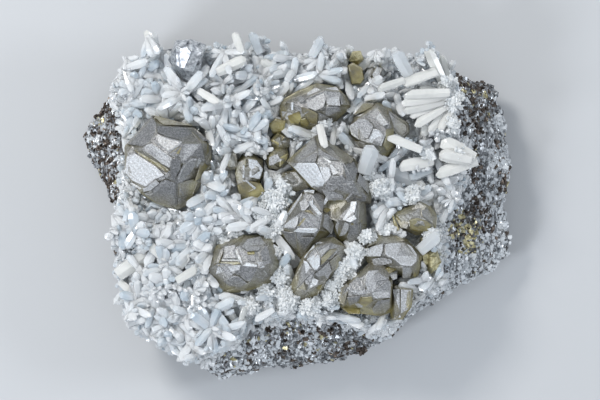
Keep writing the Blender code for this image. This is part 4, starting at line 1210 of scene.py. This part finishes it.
def dress_druse(nodes, ground, materials, rng):
    """The quartz: the frame's crust and large points, and the rosettes of each size that fill it."""
    crust = merged_copy(nodes["quartz_druse"])
    break_up(crust, CRUST_FINEST, CRUST_RELIEF, lambda place: True)
    put_shade(crust, 1.0)
    crust = finish_piece("quartz_crust", crust, materials["quartz"], "quartz", "quartz_druse")
    models = {name: prototypes(rng, name) for name in POINT_SHAPES}

    def grown(kind, shape, keep, inside=True):
        places = open_places(rng, ground, kind["spacing"], keep)
        return stamped(grow_sheaves(rng, ground, kind, models[shape], places, inside))

    def among_slender(x, y, _):
        return not in_stubby_part(x, y) and not under_large_point(x, y)

    def among_stubby(x, y, _):
        return in_stubby_part(x, y) and not under_large_point(x, y)

    def in_the_open(x, y, _):
        return not under_large_point(x, y)

    def sheltered(x, y, place):
        return under_large_point(x, y) or place.z < RIM_TOP * MM

    sides = side_places(rng, ground, crust.data, SHORT["spacing"])
    pieces = {
        "quartz_points": grown(SLENDER, "slender", among_slender),
        "quartz_stubby_points": grown(STUBBY, "stubby", among_stubby),
        "quartz_small_points": grown(FILLING, "filling", in_the_open),
        "quartz_short_points": grown(SHORT, "filling", sheltered, inside=False),
        "quartz_side_points": stamped(grow_sheaves(rng, ground, SHORT, models["filling"], sides)),
    }
    for name, bm in pieces.items():
        finish_piece(name, bm, materials["quartz"], "quartz")
    for name, milky in (("quartz_large_white", 1), ("quartz_large_clear", 0)):
        bm = stamped(large_points(rng, ground, models["blade"], milky))
        finish_piece(name, bm, materials[name], "quartz")
    mounds = mound_places(rng, ground, SUGAR["spacing"])
    tufts = grow_sheaves(rng, ground, SUGAR, models["fine"], mounds)
    finish_piece("quartz_sugar", stamped(tufts), materials["sugar"], "quartz")
    discard(model for shape in models.values() for model in shape)


def dress_rock(nodes, ground, material):
    """The slab, broken up finer: cracked and stepped at three sizes."""
    bm = merged_copy(nodes["sulphide_rock"])

    def under_crust(place):
        return ground.druse.ray_cast(place + UP * 0.01 * MM, UP, 3 * MM)[0] is not None

    break_up(bm, SLAB_FINEST, SLAB_RELIEF, under_crust)
    return finish_piece("broken_slab", bm, material, "sulphide_rock", "sulphide_rock")


def grain_prototype(rng, name):
    """A small broken grain one unit wide: a flattened cube with three corners cut off."""
    bm = bmesh.new()
    bmesh.ops.create_cube(bm, size=1)
    bmesh.ops.scale(bm, vec=(1, rng.uniform(0.5, 0.9), rng.uniform(0.3, 0.7)), verts=bm.verts)
    for _ in range(3):
        outward = loose_vector(rng).normalized()
        cut_off(bm, outward * rng.uniform(0.25, 0.4), outward)
    bmesh.ops.recalc_face_normals(bm, faces=bm.faces)
    return mesh_of(name, bm)


def mineral_at(rng, ground, place):
    """The mineral of the ore's grain at this place."""
    x, y = place.x / MM, place.y / MM
    near_crust = ground.druse.find_nearest(place, NEAR_CRUST * MM)[0] is not None
    if near_crust and rng.random() < NEAR_CRUST_QUARTZ:
        return "quartz"
    for cx, cy, radius, mineral in ORE_PATCHES:
        share = PATCH_SHARE * (1 - (math.hypot(x - cx, y - cy) / radius) ** 2)
        if rng.random() < share:
            return mineral
    stretched = Vector([part * stretch for part, stretch in zip(place, BAND_STRETCH)])
    value = noise.noise(stretched / (BAND * MM))
    mix = ORE_MIX["dark" if value < DARK_BELOW else "bright" if value > BRIGHT_ABOVE else "plain"]
    return rng.choices(list(mix), list(mix.values()))[0]


def dress_ore(slab, ground, materials, rng):
    """Grains of each mineral that stand out of the slab's open, broken faces."""
    grains = [grain_prototype(rng, f"grain_{index}") for index in range(GRAIN_SHAPES)]
    copies = {mineral: [] for mineral in ORE_MIX["plain"]}
    smallest, largest = GRAIN_SIZE
    for face in slab.data.polygons:
        share = face.area / (GRAIN_SPACING * MM) ** 2
        if face.center.z < GRAIN_FLOOR * MM or rng.random() > share:
            continue
        if ground.druse.ray_cast(face.center + face.normal * 0.5 * MM, UP, MM)[0] is not None:
            continue
        mineral = mineral_at(rng, ground, face.center)
        size = smallest + (largest - smallest) * rng.random() ** GRAIN_SKEW
        axis = (face.normal + side_step(rng, face.normal) * rng.uniform(0, 0.8)).normalized()
        grain = rng.choice(grains)
        spin = rng.uniform(0, math.tau)
        copies[mineral].append((grain, stand(face.center, axis, size, 1, spin)))
    for mineral, placed in copies.items():
        material, slot = ORE_FINISHES[mineral]
        finish_piece(f"ore_grains_{mineral}", stamped(placed), materials[material], slot)
    discard(grains)


def light(name, place, size, watts, colour):
    """A soft square light that faces the specimen. Its place and size are in metres."""
    data = bpy.data.lights.new(name, "AREA")
    data.size = size
    data.energy = watts
    data.color = linear(colour)[:3]
    lamp = bpy.data.objects.new(name, data)
    lamp.location = place
    lamp.rotation_euler = (-Vector(place)).to_track_quat("-Z", "Y").to_euler()
    bpy.context.scene.collection.objects.link(lamp)


def make_studio(floor_material):
    """The floor, the soft lights, and the camera straight above."""
    scene = bpy.context.scene
    bm = bmesh.new()
    bmesh.ops.create_grid(bm, x_segments=1, y_segments=1, size=1.5)
    mesh = mesh_of("floor", bm)
    mesh.materials.append(floor_material)
    floor = bpy.data.objects.new("floor", mesh)
    scene.collection.objects.link(floor)
    floor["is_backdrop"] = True

    world = bpy.data.worlds.new("studio")
    world.use_nodes = True
    background = world.node_tree.nodes["Background"]
    background.inputs["Color"].default_value = linear("e6edf5")
    background.inputs["Strength"].default_value = 0.62
    scene.world = world
    light("key", (-0.30, 0.35, 0.50), size=0.16, watts=2.2, colour="fffcf8")
    light("left_low", (-0.42, -0.30, 0.50), size=0.16, watts=1.8, colour="f2f7ff")
    light("right", (0.50, 0.05, 0.40), size=0.16, watts=0.9, colour="f2f7ff")

    data = bpy.data.cameras.new("camera")
    data.lens = LENS
    data.sensor_width = SENSOR
    camera = bpy.data.objects.new("camera", data)
    distance = FRAME_WIDTH * LENS / SENSOR
    camera.location = (VIEW_CENTRE[0] * MM, VIEW_CENTRE[1] * MM, (DRUSE_TOP + distance) * MM)
    scene.collection.objects.link(camera)
    scene.camera = camera
    scene.view_settings.view_transform = "Standard"


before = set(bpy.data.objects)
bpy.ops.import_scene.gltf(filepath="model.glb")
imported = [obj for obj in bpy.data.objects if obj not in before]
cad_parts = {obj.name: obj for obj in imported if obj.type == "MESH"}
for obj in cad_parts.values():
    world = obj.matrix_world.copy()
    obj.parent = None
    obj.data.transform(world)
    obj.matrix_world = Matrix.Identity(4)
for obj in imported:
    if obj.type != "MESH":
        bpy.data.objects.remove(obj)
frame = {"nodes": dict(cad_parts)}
frame_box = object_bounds()
rng = random.Random(7)
materials = make_materials()
nodes = frame["nodes"]

for name in nodes:
    if name.startswith("cleiophane"):
        dress_crystal(name, nodes[name], materials["cleiophane"], "cleiophane", rng)
dress_crystal("galena_crystal", nodes["galena_crystal"], materials["galena"], "galena", rng)
for name in ("chalcopyrite_top", "chalcopyrite_right"):
    dress_crystal(name, nodes[name], materials["chalcopyrite"], "chalcopyrite", rng)
small_crystals = [
    grow_small_crystals(mineral, materials[mineral], rng) for mineral in ("cleiophane", "chalcopyrite")
]
ground = Ground(nodes, small_crystals, make_mounds(materials["sugar"]))
dress_druse(nodes, ground, materials, rng)
slab = dress_rock(nodes, ground, materials["ore"])
dress_ore(slab, ground, materials, rng)
make_studio(materials["floor"])

[[list(corner) for corner in box] for box in (frame_box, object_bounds())]
